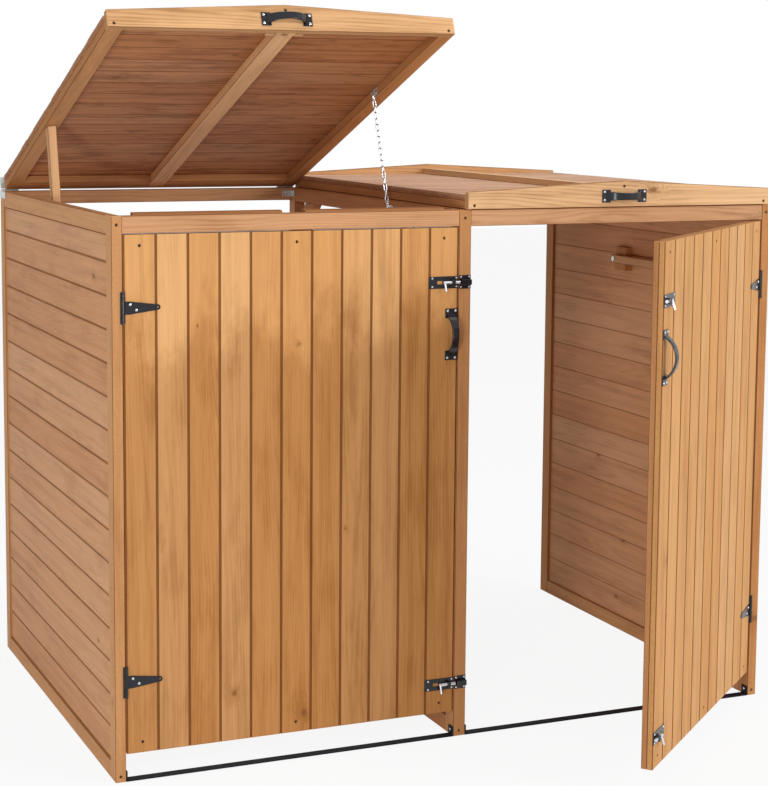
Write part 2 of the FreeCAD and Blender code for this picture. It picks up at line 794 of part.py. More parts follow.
def eye_centre(face, y, z):
    return V(face - PLATE_T - EYE_REACH + EYE_INSET, y, z)


def high_eye():
    return eye_centre(CHAIN_RAIL_X, CHAIN_Y, CHAIN_HIGH_Z - EYE_DROP)


def low_eye():
    return eye_centre(CENTRE_X0, CHAIN_LOW_Y, CHAIN_LOW_Z)


def lid_chain_plate():
    return eye_plate(CHAIN_RAIL_X, CHAIN_Y, CHAIN_HIGH_Z, CHAIN_HIGH_Z - EYE_DROP)


def low_chain_plate():
    return eye_plate(CENTRE_X0, CHAIN_LOW_Y, CHAIN_LOW_Z, CHAIN_LOW_Z)


def lid_chain_screws():
    x = CHAIN_RAIL_X - PLATE_T
    side = CHAIN_PLATE_L / 2.0 - SMALL_SCREW_EDGE
    high = CHAIN_PLATE_H / 2.0 - SMALL_SCREW_EDGE
    places = ((-side, -high), (side, -high), (0.0, high))
    return [screw_head(V(x, CHAIN_Y + y, CHAIN_HIGH_Z + z), TO_LEFT, SMALL_SCREW_R) for y, z in places]


def low_chain_screws():
    x = CENTRE_X0 - PLATE_T
    side = CHAIN_PLATE_L / 2.0 - SMALL_SCREW_EDGE
    places = (CHAIN_LOW_Y - side, CHAIN_LOW_Y + side)
    return [screw_head(V(x, y, CHAIN_LOW_Z), TO_LEFT, SMALL_SCREW_R) for y in places]


def opened(point):
    spin = FreeCAD.Rotation(TO_LEFT, LID_OPEN)
    return spin.multVec(point - LID_PIVOT) + LID_PIVOT


def chain_length():
    return (opened(high_eye()) - low_eye()).Length


def link_pitch():
    return (chain_length() - LINK_WIRE - LINK_PLAY - 2 * EYE_PLAY) / CHAIN_LINKS


def chain_link(centre, along, side):
    # One oval link of round wire. Its long way is along the chain and its width along side.
    r = LINK_W / 2.0
    straight = link_pitch() + LINK_WIRE + LINK_PLAY - LINK_W
    a = centre - along * (straight / 2.0)
    b = centre + along * (straight / 2.0)
    path = Part.Wire([
        line(a + side * r, b + side * r),
        arc(b + side * r, b + along * r, b - side * r),
        line(b - side * r, a - side * r),
        arc(a - side * r, a - along * r, a + side * r),
    ])
    circle = Part.Wire([Part.makeCircle(LINK_WIRE / 2.0, a + side * r, along)])
    return path.makePipeShell([circle], True, False)


def point_at(path, s):
    for p, q in zip(path, path[1:]):
        step = (q - p).Length
        if s <= step:
            return p + (q - p) * (s / step)
        s -= step
    return path[-1]


def chain(path, normal):
    # Links at equal steps along the path. Every second one is turned by a quarter.
    pitch = link_pitch()
    lead = (pitch + LINK_WIRE + LINK_PLAY) / 2.0 + EYE_PLAY
    made = []
    for i in range(CHAIN_LINKS):
        s = lead + i * pitch
        behind = point_at(path, s - pitch / 2.0)
        ahead = point_at(path, s + pitch / 2.0)
        along = ahead - behind
        along.normalize()
        twist = math.sin(math.pi * i / (CHAIN_LINKS - 1))
        side = Y_AXIS * (1 - twist) + normal * twist
        side = side - along * side.dot(along)
        side.normalize()
        if i % 2:
            side = along.cross(side)
        made.append(chain_link((behind + ahead) / 2.0, along, side))
    return made


def slack_path():
    # Straight down from the lid, round in a half circle, and straight up to the partition.
    start = high_eye()
    end = low_eye()
    across = V(end.x - start.x, end.y - start.y, 0)
    radius = across.Length / 2.0
    across.normalize()
    straight = chain_length() - math.pi * radius
    bottom = start.z - (straight + start.z - end.z) / 2.0
    middle = V((start.x + end.x) / 2.0, (start.y + end.y) / 2.0, bottom)
    path = [start]
    for i in range(LOOP_STEPS + 1):
        turn = math.pi * i / LOOP_STEPS
        path.append(middle - across * (radius * math.cos(turn)) - Z_AXIS * (radius * math.sin(turn)))
    return path + [end], Z_AXIS.cross(across)


# Prop stick, for the left bay, drawn standing under the open lid

def lid_underside(y):
    angle = math.radians(LID_OPEN)
    return LID_HINGE_Z + (LID_Z - LID_HINGE_Z) / math.cos(angle) + (LID_HINGE_Y - y) * math.tan(angle)


LEAN = math.radians(PROP_LEAN)
PROP_TOP_Z = lid_underside(PROP_Y) - PROP_TOP_GAP
PROP_PIVOT = V(PROP_TOP_X + PROP_L * math.sin(LEAN), PROP_Y, PROP_TOP_Z - PROP_L)
PROP_AXIS = V(-math.cos(LEAN), 0, -math.sin(LEAN))
PROP_BLOCK_X1 = PROP_PIVOT.x - (PROP_W / 2.0 + PROP_BLOCK_GAP) / math.cos(LEAN)


def leaning(shape):
    return turned(shape, PROP_PIVOT, Y_AXIS, -PROP_LEAN)


def prop_stick():
    x0 = PROP_PIVOT.x - PROP_W / 2.0
    half = PROP_T / 2.0
    bevel = half * math.tan(math.radians(LID_OPEN))
    bottom = PROP_PIVOT.z - PROP_TAIL
    points = [
        V(x0, PROP_Y - half, bottom),
        V(x0, PROP_Y + half, bottom),
        V(x0, PROP_Y + half, PROP_TOP_Z - bevel),
        V(x0, PROP_Y - half, PROP_TOP_Z + bevel),
    ]
    stick = prism(points, V(PROP_W, 0, 0))
    start = V(x0, PROP_PIVOT.y, PROP_PIVOT.z)
    return leaning(stick.cut(rod(start, X_AXIS, PROP_SCREW_R + PIN_PLAY, PROP_W)))


def prop_screw():
    start = PROP_PIVOT - X_AXIS * (PROP_W / 2.0 + PROP_BLOCK_GAP + PROP_SCREW_GRIP)
    shank_l = PROP_SCREW_GRIP + PROP_BLOCK_GAP + PROP_W + PROP_SCREW_END_PLAY
    shank = rod(start, X_AXIS, PROP_SCREW_R, shank_l)
    head = rod(start + X_AXIS * shank_l, X_AXIS, PROP_SCREW_HEAD_R, PROP_SCREW_HEAD_T)
    return leaning(fuse([shank, head]))


def prop_block():
    # Its face leans like the stick, which turns flat against it.
    tall = PROP_BLOCK_H / 2.0
    slope = tall * math.tan(LEAN)
    y = PROP_Y - PROP_BLOCK_W / 2.0
    z = PROP_PIVOT.z
    block = prism([
        V(BOARDS_INNER_X, y, z - tall),
        V(PROP_BLOCK_X1 + slope, y, z - tall),
        V(PROP_BLOCK_X1 - slope, y, z + tall),
        V(BOARDS_INNER_X, y, z + tall),
    ], V(0, PROP_BLOCK_W, 0))
    return block.cut(prop_screw())


# The right half is the left half mirrored, with its lid shut, its stick folded and its door ajar

def lid_up(shapes):
    return [turned(s, LID_PIVOT, TO_LEFT, LID_OPEN) for s in shapes]


def as_drawn(shapes):
    return shapes


def door_ajar(shapes):
    return [turned(s, RIGHT_DOOR_PIVOT, Z_AXIS, RIGHT_DOOR_ANGLE) for s in mirrored(shapes)]


def save_lid(side, pose, seed):
    screws = on_fascia(handle_screws()) + lid_chain_screws() + lid_leaf_screws(1)
    screws += [sunk_head(at, Y_AXIS) for at in fascia_screw_points()]
    save(side + "_lid_front_fascia", pose([front_fascia()]))
    save(side + "_lid_rear_fascia", pose([fascia(DEPTH - FASCIA_T)]))
    save(side + "_lid_rails", pose(lid_rails()))
    save(side + "_lid_beam", pose(lid_beam()))
    save(side + "_lid_roof_boards", pose(roof_boards(seed)))
    save(side + "_lid_ridge_batten", pose([ridge_batten()]))
    save(side + "_lid_handle", pose(on_fascia([bow_handle()])))
    save(side + "_lid_hinge_leaves", pose([moving_lid_leaf(x) for x in lid_hinge_places()]))
    save(side + "_lid_chain_plate", pose([lid_chain_plate()]))
    save(side + "_lid_screws", pose(screws))


def save_door(side, pose):
    save(side + "_door_boards", pose(door_boards()))
    save(side + "_door_frame", pose(door_frame()))
    save(side + "_door_handle", pose(on_door([bow_handle()])))
    save(side + "_door_hinge_straps", pose([hinge_strap(UPPER_HINGE_Z), hinge_strap(LOWER_HINGE_Z)]))
    save(side + "_door_bolt_plates", pose([bolt_plate(UPPER_BOLT_Z), bolt_plate(LOWER_BOLT_Z)]))
    save(side + "_door_screws", pose(door_screws()))
    save(side + "_upper_bolt", pose([bolt(UPPER_BOLT_Z)]))
    save(side + "_lower_bolt", pose([bolt(LOWER_BOLT_Z)]))


def frame_screws():
    made = keeper_screws(UPPER_BOLT_Z) + keeper_screws(LOWER_BOLT_Z)
    made += [sunk_head(at, Y_AXIS) for at in post_screw_points(CENTRE_X0, CENTRE_POST_W)]
    pairs = low_chain_screws() + lid_leaf_screws(-1)
    pairs += [sunk_head(at, Y_AXIS) for at in post_screw_points(0, SIDE_POST_W)]
    for y in (DEPTH - OUTER_PLATE_L + SCREW_EDGE, DEPTH - SCREW_EDGE):
        pairs.append(screw_head(V(-PLATE_T, y, OUTER_PLATE_Z), TO_LEFT))
    rail_y = BACK_RAIL_Y - PLATE_T
    post_y = (INNER_Y1 + rail_y) / 2.0
    pairs.append(screw_head(V(CENTRE_X0 - INNER_PLATE_SCREW_X, rail_y, INNER_PLATE_Z), OUT_FRONT))
    pairs.append(screw_head(V(CENTRE_X0 - PLATE_T, post_y, INNER_PLATE_Z), TO_LEFT))
    bar_z = BAR_TAB_H - BAR_SCREW_DROP
    pairs.append(screw_head(V(SIDE_POST_W + BAR_T, BAR_W / 2.0, bar_z), TO_RIGHT))
    pairs.append(screw_head(V(CENTRE_X0 - BAR_T, BAR_W / 2.0, bar_z), TO_LEFT))
    return made + both(pairs)


def save_frame():
    save("side_posts", both(posts(0, SIDE_POST_W)))
    save("centre_posts", posts(CENTRE_X0, CENTRE_POST_W))
    save("wall_rails", both(wall_rails()))
    save("centre_rails", centre_rails())
    save("centre_brace", [centre_brace()])
    save("left_wall_boards", wall_boards())
    save("right_wall_boards", mirrored(wall_boards()))
    save("front_rails", both([cross_rail(0, FRONT_RAIL_H)]))
    save("front_rail_strips", both(front_strips()))
    save("back_rails", both([cross_rail(BACK_RAIL_Y, BACK_RAIL_H)]))
    save("ground_bars", both([ground_bar()]))
    save("corner_plates", both([outer_plate(), inner_plate()]))
    save("door_hinge_leaves", both([hinge_leaf(UPPER_HINGE_Z), hinge_leaf(LOWER_HINGE_Z)]))
    save("bolt_keepers", [keeper(UPPER_BOLT_Z), keeper(LOWER_BOLT_Z)])
    save("lid_hinge_frame_leaves", both([fixed_lid_leaf(x) for x in lid_hinge_places()]))
    save("chain_anchor_plates", both([low_chain_plate()]))
    save("prop_blocks", both([prop_block()]))
    save("prop_pivot_screws", both([prop_screw()]))
    save("frame_screws", frame_screws())


def save_stays():
    save("left_prop_stick", [prop_stick()])
    folded = turned(prop_stick(), PROP_PIVOT, PROP_AXIS, -90)
    save("right_prop_stick", mirrored([folded]))
    save("left_chain", chain([opened(high_eye()), low_eye()], Y_AXIS))
    path, normal = slack_path()
    save("right_chain", mirrored(chain(path, normal)))


def main():
    os.makedirs("parts", exist_ok=True)
    save_frame()
    save_stays()
    save_lid("left", lid_up, 0.0)
    save_lid("right", mirrored, 1.0)
    save_door("left", as_drawn)
    save_door("right", door_ajar)
    print("chain length", round(chain_length(), 1), "link pitch", round(link_pitch(), 2))
    print("prop pivot", PROP_PIVOT + SHIFT, "axis", PROP_AXIS)


main()
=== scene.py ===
import json
import math

import bmesh
import bpy
import numpy as np
from bpy.props import FloatProperty, FloatVectorProperty, IntProperty, PointerProperty
from mathutils import Euler, Matrix, Vector


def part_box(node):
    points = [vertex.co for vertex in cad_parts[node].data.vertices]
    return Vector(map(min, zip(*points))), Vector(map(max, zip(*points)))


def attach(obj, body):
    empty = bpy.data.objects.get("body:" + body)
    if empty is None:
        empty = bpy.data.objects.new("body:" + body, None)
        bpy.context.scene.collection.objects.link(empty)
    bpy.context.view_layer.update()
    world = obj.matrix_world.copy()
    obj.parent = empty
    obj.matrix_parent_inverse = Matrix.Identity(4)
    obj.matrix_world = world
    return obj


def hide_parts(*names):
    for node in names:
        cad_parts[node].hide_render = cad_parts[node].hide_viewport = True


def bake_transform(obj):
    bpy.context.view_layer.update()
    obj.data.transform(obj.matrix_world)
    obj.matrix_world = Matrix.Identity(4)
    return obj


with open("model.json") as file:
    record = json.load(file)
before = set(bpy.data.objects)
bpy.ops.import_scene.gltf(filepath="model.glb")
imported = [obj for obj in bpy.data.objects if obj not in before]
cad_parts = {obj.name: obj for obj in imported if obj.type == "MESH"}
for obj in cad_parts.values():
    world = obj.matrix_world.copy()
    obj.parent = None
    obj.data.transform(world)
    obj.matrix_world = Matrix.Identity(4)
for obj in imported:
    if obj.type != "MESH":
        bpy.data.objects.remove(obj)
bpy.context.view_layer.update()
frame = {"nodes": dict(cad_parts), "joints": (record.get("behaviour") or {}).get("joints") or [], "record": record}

bl_info = {
    "name": "Wheelie bin store",
    "version": (1, 0, 0),
    "blender": (4, 5, 0),
    "location": "View3D > Sidebar > Bin Store",
    "description": "Dresses the timber bin store with stained boards, black fittings, chains and screws",
    "category": "Object",
}

# What the frame says about each node

BODY_OF = {node: body for body, nodes in frame["record"]["behaviour"]["bodies"].items() for node in nodes}
HINGE_OF = {joint["child"]: joint for joint in frame["joints"] if joint["type"] == "hinge"}


def shade(red, green, blue):
    """A colour as a screen shows it, from 0 to 255, in the values that a shader works with."""
    made = []
    for value in (red, green, blue):
        value /= 255.0
        made.append(value / 12.92 if value <= 0.04045 else ((value + 0.055) / 1.055) ** 2.4)
    return tuple(made)


def colour_property(name, description, default):
    return FloatVectorProperty(
        name=name, description=description, subtype="COLOR", size=3, min=0.0, max=1.0, default=default
    )


def lamp_property(name, description, default):
    return FloatProperty(name=name, description=description, default=default, min=0.0, unit="POWER")


class BINSTORE_PG_timber(bpy.types.PropertyGroup):
    """Sizes and colours of the timber."""

    board_round: FloatProperty(
        name="Board edge", description="Width of the soft edge on a board",
        default=0.0005, min=0.0001, max=0.002, precision=4, subtype="DISTANCE", unit="LENGTH",
    )
    post_round: FloatProperty(
        name="Post edge", description="Width of the soft edge on posts, rails and fascias",
        default=0.0011, min=0.0001, max=0.004, precision=4, subtype="DISTANCE", unit="LENGTH",
    )
    ring_gap: FloatProperty(
        name="Growth rings", description="Distance between two growth rings",
        default=0.0052, min=0.001, max=0.02, precision=4, subtype="DISTANCE", unit="LENGTH",
    )
    tone_spread: FloatProperty(
        name="Tone spread", description="How much one board differs from the next",
        default=1.0, min=0.0, max=1.0, subtype="FACTOR",
    )
    # Below this height the left door's boards are made darker
    stain_line: FloatProperty(
        name="Stain line", description="Height below which the stain of the left door is deeper",
        default=0.93, min=0.0, max=1.5, subtype="DISTANCE", unit="LENGTH",
    )
    seed: IntProperty(name="Seed", description="Picks the tone and grain of each board", default=4, min=0)
    door_wood: colour_property("Door boards", "Stain on the doors", shade(223, 167, 108))
    wall_wood: colour_property("Wall boards", "Stain on the side walls", shade(222, 164, 118))
    # Painted light and shade: the roof boards' top colour is lighter, as if lit from above, and their underside
    # colour is darker, as if shaded, over one stain
    roof_wood_with_top_light: colour_property("Roof boards", "Faded stain on top of the lids", shade(226, 178, 144))
    soffit_wood_with_shade: colour_property("Under the lids", "Stain on the roof boards from below", shade(200, 138, 92))
    post_wood: colour_property("Posts", "Stain on the posts and wall rails", shade(217, 158, 104))
    rail_wood: colour_property("Front rails", "Stain on the front rails", shade(213, 162, 119))
    fascia_wood: colour_property("Fascias", "Stain on the gable fascias", shade(230, 182, 132))
    # Lighter than the other inner timbers: painted light on a beam that faces down into the lid's shade
    beam_wood_with_light: colour_property("Lid beams", "Stain on the beam under each ridge", shade(240, 186, 134))
    frame_wood: colour_property("Inner timbers", "Stain on the timbers inside", shade(204, 144, 92))
    stick_wood: colour_property("Prop sticks", "Bare wood of the prop sticks", shade(230, 178, 128))


class BINSTORE_PG_fittings(bpy.types.PropertyGroup):
    """Colours of the fittings."""

    paint: colour_property("Black paint", "Paint on hinges, handles and ground bars", shade(26, 26, 32))
    zinc: colour_property("Zinc", "Bright plating on screws, bolts and chains", shade(214, 218, 224))
    galvanised: colour_property("Galvanised steel", "Plates and lid hinges", shade(206, 210, 208))
    metal_round: FloatProperty(
        name="Metal edge", description="Width of the soft edge on sheet metal",
        default=0.00035, min=0.0001, max=0.002, precision=5, subtype="DISTANCE", unit="LENGTH",
    )


class BINSTORE_PG_stage(bpy.types.PropertyGroup):
    """Floor, light and camera."""

    floor: colour_property("Floor", "Colour of the floor", shade(236, 238, 240))
    right: lamp_property("Right lamp", "Power of the lamp at the right", 158.0)
    left: lamp_property("Left lamp", "Power of the lamp at the left", 48.0)
    low: lamp_property("Low lamp", "Power of the low lamp at the left", 60.0)
    top: lamp_property("Top lamp", "Power of the lamp overhead", 80.0)
    sky: FloatProperty(name="Sky", description="Strength of the even light all round", default=0.36, min=0.0)
    lens: FloatProperty(
        name="Lens", description="Focal length of the camera", default=86.34, min=20.0, unit="CAMERA"
    )


# Solids taken from the frame

def merged(node):
    """A copy of a node's mesh, joined up one solid at a time, so that boards that touch stay apart."""
    mesh = frame["nodes"][node].data
    bm = bmesh.new()
    corners = {}
    unpaired = set()
    solid = 0
    for face in mesh.polygons:
        keys = [(solid, *mesh.vertices[i].co) for i in face.vertices]
        for key in keys:
            if key not in corners:
                corners[key] = bm.verts.new(key[1:])
        bm.faces.new([corners[key] for key in keys])
        for start, end in zip(keys, keys[1:] + keys[:1]):
            if (end, start) in unpaired:
                unpaired.remove((end, start))
            else:
                unpaired.add((start, end))
        if not unpaired:
            solid += 1
    bm.normal_update()
    return bm


def islands(bm):
    """The separate solids of a mesh, each as a list of its vertices."""
    seen = set()
    found = []
    for start in bm.verts:
        if start in seen:
            continue
        seen.add(start)
        group = [start]
        for vertex in group:
            for edge in vertex.link_edges:
                other = edge.other_vert(vertex)
                if other not in seen:
                    seen.add(other)
                    group.append(other)
        found.append(group)
    return found


def shut_turn(body):
    """The turn that lays a door, lid or stick square to the frame, from its pose at rest."""
    if body.endswith("_bolt"):
        body = body.split("_")[0] + "_door"
    joint = HINGE_OF.get(body)
    if joint is None:
        return Matrix.Identity(3)
    return Matrix.Rotation(math.radians(joint["range_deg"][0]), 3, Vector(joint["axis"]))


def new_object(name, mesh):
    made = bpy.data.objects.new(name, mesh)
    bpy.context.scene.collection.objects.link(made)
    return made


def settled(bm, name):
    """Turns a working mesh into an object of that name."""
    mesh = bpy.data.meshes.new(name)
    bm.to_mesh(mesh)
    bm.free()
    return new_object(name, mesh)


def hand_over(piece, node, body=None):
    """Puts a finished piece in the place of its node, on the node's body or on another one."""
    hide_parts(node)
    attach(piece, body or BODY_OF[node])
    return piece


# Geometry node trees

class Tree:
    """A geometry node tree with named inputs."""

    def __init__(self, name, inputs):
        self.tree = bpy.data.node_groups.new(name, "GeometryNodeTree")
        face = self.tree.interface
        face.new_socket("Geometry", in_out="INPUT", socket_type="NodeSocketGeometry")
        for label, kind in inputs:
            face.new_socket(label, in_out="INPUT", socket_type=kind)
        face.new_socket("Geometry", in_out="OUTPUT", socket_type="NodeSocketGeometry")
        self.start = self.tree.nodes.new("NodeGroupInput")
        self.end = self.tree.nodes.new("NodeGroupOutput")

    def put(self, kind, settings=None, **wires):
        """Adds a node. A wire is a value, or the output that feeds the input of that name."""
        node = self.tree.nodes.new(kind)
        for key, value in (settings or {}).items():
            setattr(node, key, value)
        for label, value in wires.items():
            label = label.replace("_", " ")
            socket = next(s for s in node.inputs if s.enabled and s.name == label)
            if isinstance(value, bpy.types.NodeSocket):
                self.tree.links.new(value, socket)
            else:
                socket.default_value = value
        return node

    def given(self, label):
        return self.start.outputs[label]

    def out(self, node):
        return next(s for s in node.outputs if s.enabled)

    def finish(self, geometry):
        """Ends in real geometry with its material."""
        real = self.put("GeometryNodeRealizeInstances", Geometry=geometry)
        dressed = self.put(
            "GeometryNodeSetMaterial", Geometry=self.out(real), Material=self.given("Finish")
        )
        self.tree.links.new(self.out(dressed), self.end.inputs["Geometry"])
        return self.tree

    def apply(self, piece, values):
        """Runs the tree on a piece and leaves its result as a plain mesh."""
        modifier = piece.modifiers.new(self.tree.name, "NODES")
        modifier.node_group = self.tree
        for item in self.tree.interface.items_tree:
            if item.in_out == "INPUT" and item.name in values:
                modifier[item.identifier] = values[item.name]
        bpy.context.view_layer.update()
        graph = bpy.context.evaluated_depsgraph_get()
        mesh = bpy.data.meshes.new_from_object(piece.evaluated_get(graph))
        piece.modifiers.clear()
        old = piece.data
        mesh.name = piece.name
        piece.data = mesh
        bpy.data.meshes.remove(old)
        return piece


def board_tree():
    """Gives every separate board its own tone and its own stretch of grain."""
    made = Tree("Board tones", [
        ("Seed", "NodeSocketInt"),
        ("Tone spread", "NodeSocketFloat"),
        ("Grain shift", "NodeSocketFloat"),
        ("Deepening", "NodeSocketFloat"),
        ("Stain line", "NodeSocketFloat"),
        ("Finish", "NodeSocketMaterial"),
    ])
    island = made.put("GeometryNodeInputMeshIsland").outputs["Island Index"]
    half = made.put(
        "ShaderNodeMath", {"operation": "MULTIPLY"}, Value=made.given("Tone spread")
    )
    half.inputs[1].default_value = 0.5
    low = made.put("ShaderNodeMath", {"operation": "SUBTRACT"})
    low.inputs[0].default_value = 0.5
    made.tree.links.new(half.outputs[0], low.inputs[1])
    high = made.put("ShaderNodeMath", {"operation": "ADD"})
    high.inputs[0].default_value = 0.5
    made.tree.links.new(half.outputs[0], high.inputs[1])
    tone = made.put(
        "FunctionNodeRandomValue", {"data_type": "FLOAT"},
        Min=low.outputs[0], Max=high.outputs[0], ID=island, Seed=made.given("Seed"),
    )
    toned = made.put(
        "GeometryNodeStoreNamedAttribute", {"data_type": "FLOAT", "domain": "POINT"},
        Geometry=made.given("Geometry"), Name="tone", Value=made.out(tone),
    )
    shift = made.put(
        "FunctionNodeRandomValue", {"data_type": "FLOAT_VECTOR"},
        Min=(0.0, 0.0, 0.0), Max=(1.0, 1.0, 1.0), ID=island, Seed=made.given("Seed"),
    )
    scaled = made.put("ShaderNodeVectorMath", {"operation": "SCALE"}, Vector=made.out(shift))
    made.tree.links.new(made.given("Grain shift"), scaled.inputs["Scale"])
    moved = made.put(
        "GeometryNodeStoreNamedAttribute", {"data_type": "FLOAT_VECTOR", "domain": "POINT"},
        Geometry=made.out(toned), Name="shift", Value=scaled.outputs[0],
    )
    deep = made.put(
        "GeometryNodeStoreNamedAttribute", {"data_type": "FLOAT", "domain": "POINT"},
        Geometry=made.out(moved), Name="deepening", Value=made.given("Deepening"),
    )
    line = made.put(
        "GeometryNodeStoreNamedAttribute", {"data_type": "FLOAT", "domain": "POINT"},
        Geometry=made.out(deep), Name="stain_line", Value=made.given("Stain line"),
    )
    made.finish(made.out(line))
    return made


def repeat_tree():
    """Sets one form on every point, turned and sized as the point says, with a random spin."""
    made = Tree("Repeats", [
        ("Form", "NodeSocketObject"),
        ("Spin", "NodeSocketFloat"),
        ("Seed", "NodeSocketInt"),
        ("Finish", "NodeSocketMaterial"),
    ])
    form = made.put("GeometryNodeObjectInfo", Object=made.given("Form"))
    turn = made.put("GeometryNodeInputNamedAttribute", {"data_type": "FLOAT_VECTOR"}, Name="turn")
    size = made.put("GeometryNodeInputNamedAttribute", {"data_type": "FLOAT_VECTOR"}, Name="size")
    rotation = made.put("FunctionNodeEulerToRotation", Euler=made.out(turn))
    placed = made.put(
        "GeometryNodeInstanceOnPoints",
        Points=made.given("Geometry"), Instance=form.outputs["Geometry"],
        Rotation=made.out(rotation), Scale=made.out(size),
    )
    angle = made.put(
        "FunctionNodeRandomValue", {"data_type": "FLOAT"},
        Min=0.0, Max=made.given("Spin"), Seed=made.given("Seed"),
    )
    axis = made.put("ShaderNodeCombineXYZ", Z=made.out(angle))
    spun = made.put("GeometryNodeRotateInstances", Instances=made.out(placed), Rotation=axis.outputs[0])
    made.finish(made.out(spun))
    return made


TREES = {}


def tree(kind):
    """The tree of that kind, built once."""
    if kind not in TREES:
        TREES[kind] = {"boards": board_tree, "repeats": repeat_tree}[kind]()
    return TREES[kind]


# Materials

class Shader:
    """A material made of nodes."""

    def __init__(self, name):
        self.material = bpy.data.materials.new(name)
        self.material.use_nodes = True
        self.nodes = self.material.node_tree.nodes
        self.links = self.material.node_tree.links
        self.surface = self.nodes["Principled BSDF"]

    def feed(self, socket, value):
        if isinstance(value, bpy.types.NodeSocket):
            self.links.new(value, socket)
        else:
            socket.default_value = value

    def put(self, kind, settings=None, inputs=()):
        node = self.nodes.new(kind)
        for key, value in (settings or {}).items():
            setattr(node, key, value)
        for key, value in inputs:
            self.feed(node.inputs[key], value)
        return node

    def set(self, label, value):
        self.feed(self.surface.inputs[label], value)

    def read(self, attribute, output="Fac"):
        node = self.put("ShaderNodeAttribute", {"attribute_name": attribute})
        return node.outputs[output]

    def math(self, operation, first, second=0.0, third=0.0):
        inputs = ((0, first), (1, second), (2, third))
        return self.put("ShaderNodeMath", {"operation": operation}, inputs).outputs[0]

    def vector(self, operation, first, second=(0.0, 0.0, 0.0)):
        made = self.put("ShaderNodeVectorMath", {"operation": operation}, ((0, first), (1, second)))
        return made.outputs[0]

    def noise(self, vector, scale, detail=3.0, roughness=0.55):
        inputs = (("Vector", vector), ("Scale", scale), ("Detail", detail), ("Roughness", roughness))
        return self.put("ShaderNodeTexNoise", None, inputs).outputs[0]

    def ease(self, value, low, high, to_low=0.0, to_high=1.0):
        inputs = ((0, value), (1, low), (2, high), (3, to_low), (4, to_high))
        node = self.put("ShaderNodeMapRange", {"interpolation_type": "SMOOTHSTEP"}, inputs)
        return node.outputs[0]

    def mix(self, share, first, second, blend="MIX"):
        settings = {"data_type": "RGBA", "blend_type": blend}
        return self.put("ShaderNodeMix", settings, ((0, share), (6, first), (7, second))).outputs[2]

    def bump(self, height, strength, distance):
        inputs = (("Height", height), ("Strength", strength), ("Distance", distance))
        self.set("Normal", self.put("ShaderNodeBump", None, inputs).outputs[0])


# Scales of the wood's patterns, each along the board, across it and through it
BOARD_KNOTS = (2.3, 8.0, 0.0)
POST_KNOTS = (3.1, 15.0, 0.0)
KNOT_WOBBLE = (60.0, 90.0, 0.0)
SLOW_WAVES = (1.1, 6.0, 6.0)
QUICK_WAVES = (7.0, 50.0, 50.0)
FIBRES = (12.0, 560.0, 560.0)
STREAKS = (2.2, 60.0, 60.0)
BLOTCHES = (5.0, 17.0, 17.0)
PATCHES = (7.0, 26.0, 26.0)
DARKENING_WAVES = (6.0, 11.0, 11.0)
SAWN_END = (300.0, 300.0, 300.0)

# Sizes in the wood, in metres, and the shape of a knot
KNOT_RADIUS = 0.0085
LEAST_KNOT = 0.0015
KNOT_REACH = 3.4
KNOT_STRETCH = 0.7
PITH_DEPTH = 0.034
SLOW_SWING = 0.060
QUICK_SWING = 0.0040
KNOT_SWING = 0.016
HAIR = 0.0001
BUMP = 0.0005

# How far each pattern takes the stain from its light to its dark colour
RING_DEPTH = 0.38
STREAK_DEPTH = (0.20, 0.26)
FIBRE_DEPTH = 0.16
BLOTCH_DEPTH = 0.28
PATCH_DEPTH = 0.5
SWIRL_DEPTH = 0.30

DARK = 0.56
END_DARK = 0.45
PALE = (1.14, 1.13, 1.10, 1.0)


def opaque(colour):
    return (*colour, 1.0)


def toned(colour, share):
    """The same colour, lighter above 1 and darker below."""
    return opaque(tuple(min(1.0, value * share) for value in colour))


def warmer(colour, share):
    """A deeper, redder version of a stain."""
    red, green, blue = colour
    return opaque((red * share, green * share * 0.83, blue * share * 0.66))


KNOT_BROWN = opaque(shade(124, 72, 36))
# Brown of the V grooves: painted shade in the recess, with stain pooled there
GROOVE_SHADE_AND_STAIN = opaque(shade(108, 56, 20))
# Dark brown of screws sunk in their holes: painted shade at the bottom of the hole
SUNK_HOLE_SHADE = opaque(shade(62, 34, 18))
WORN_STEEL = opaque(shade(120, 122, 130))


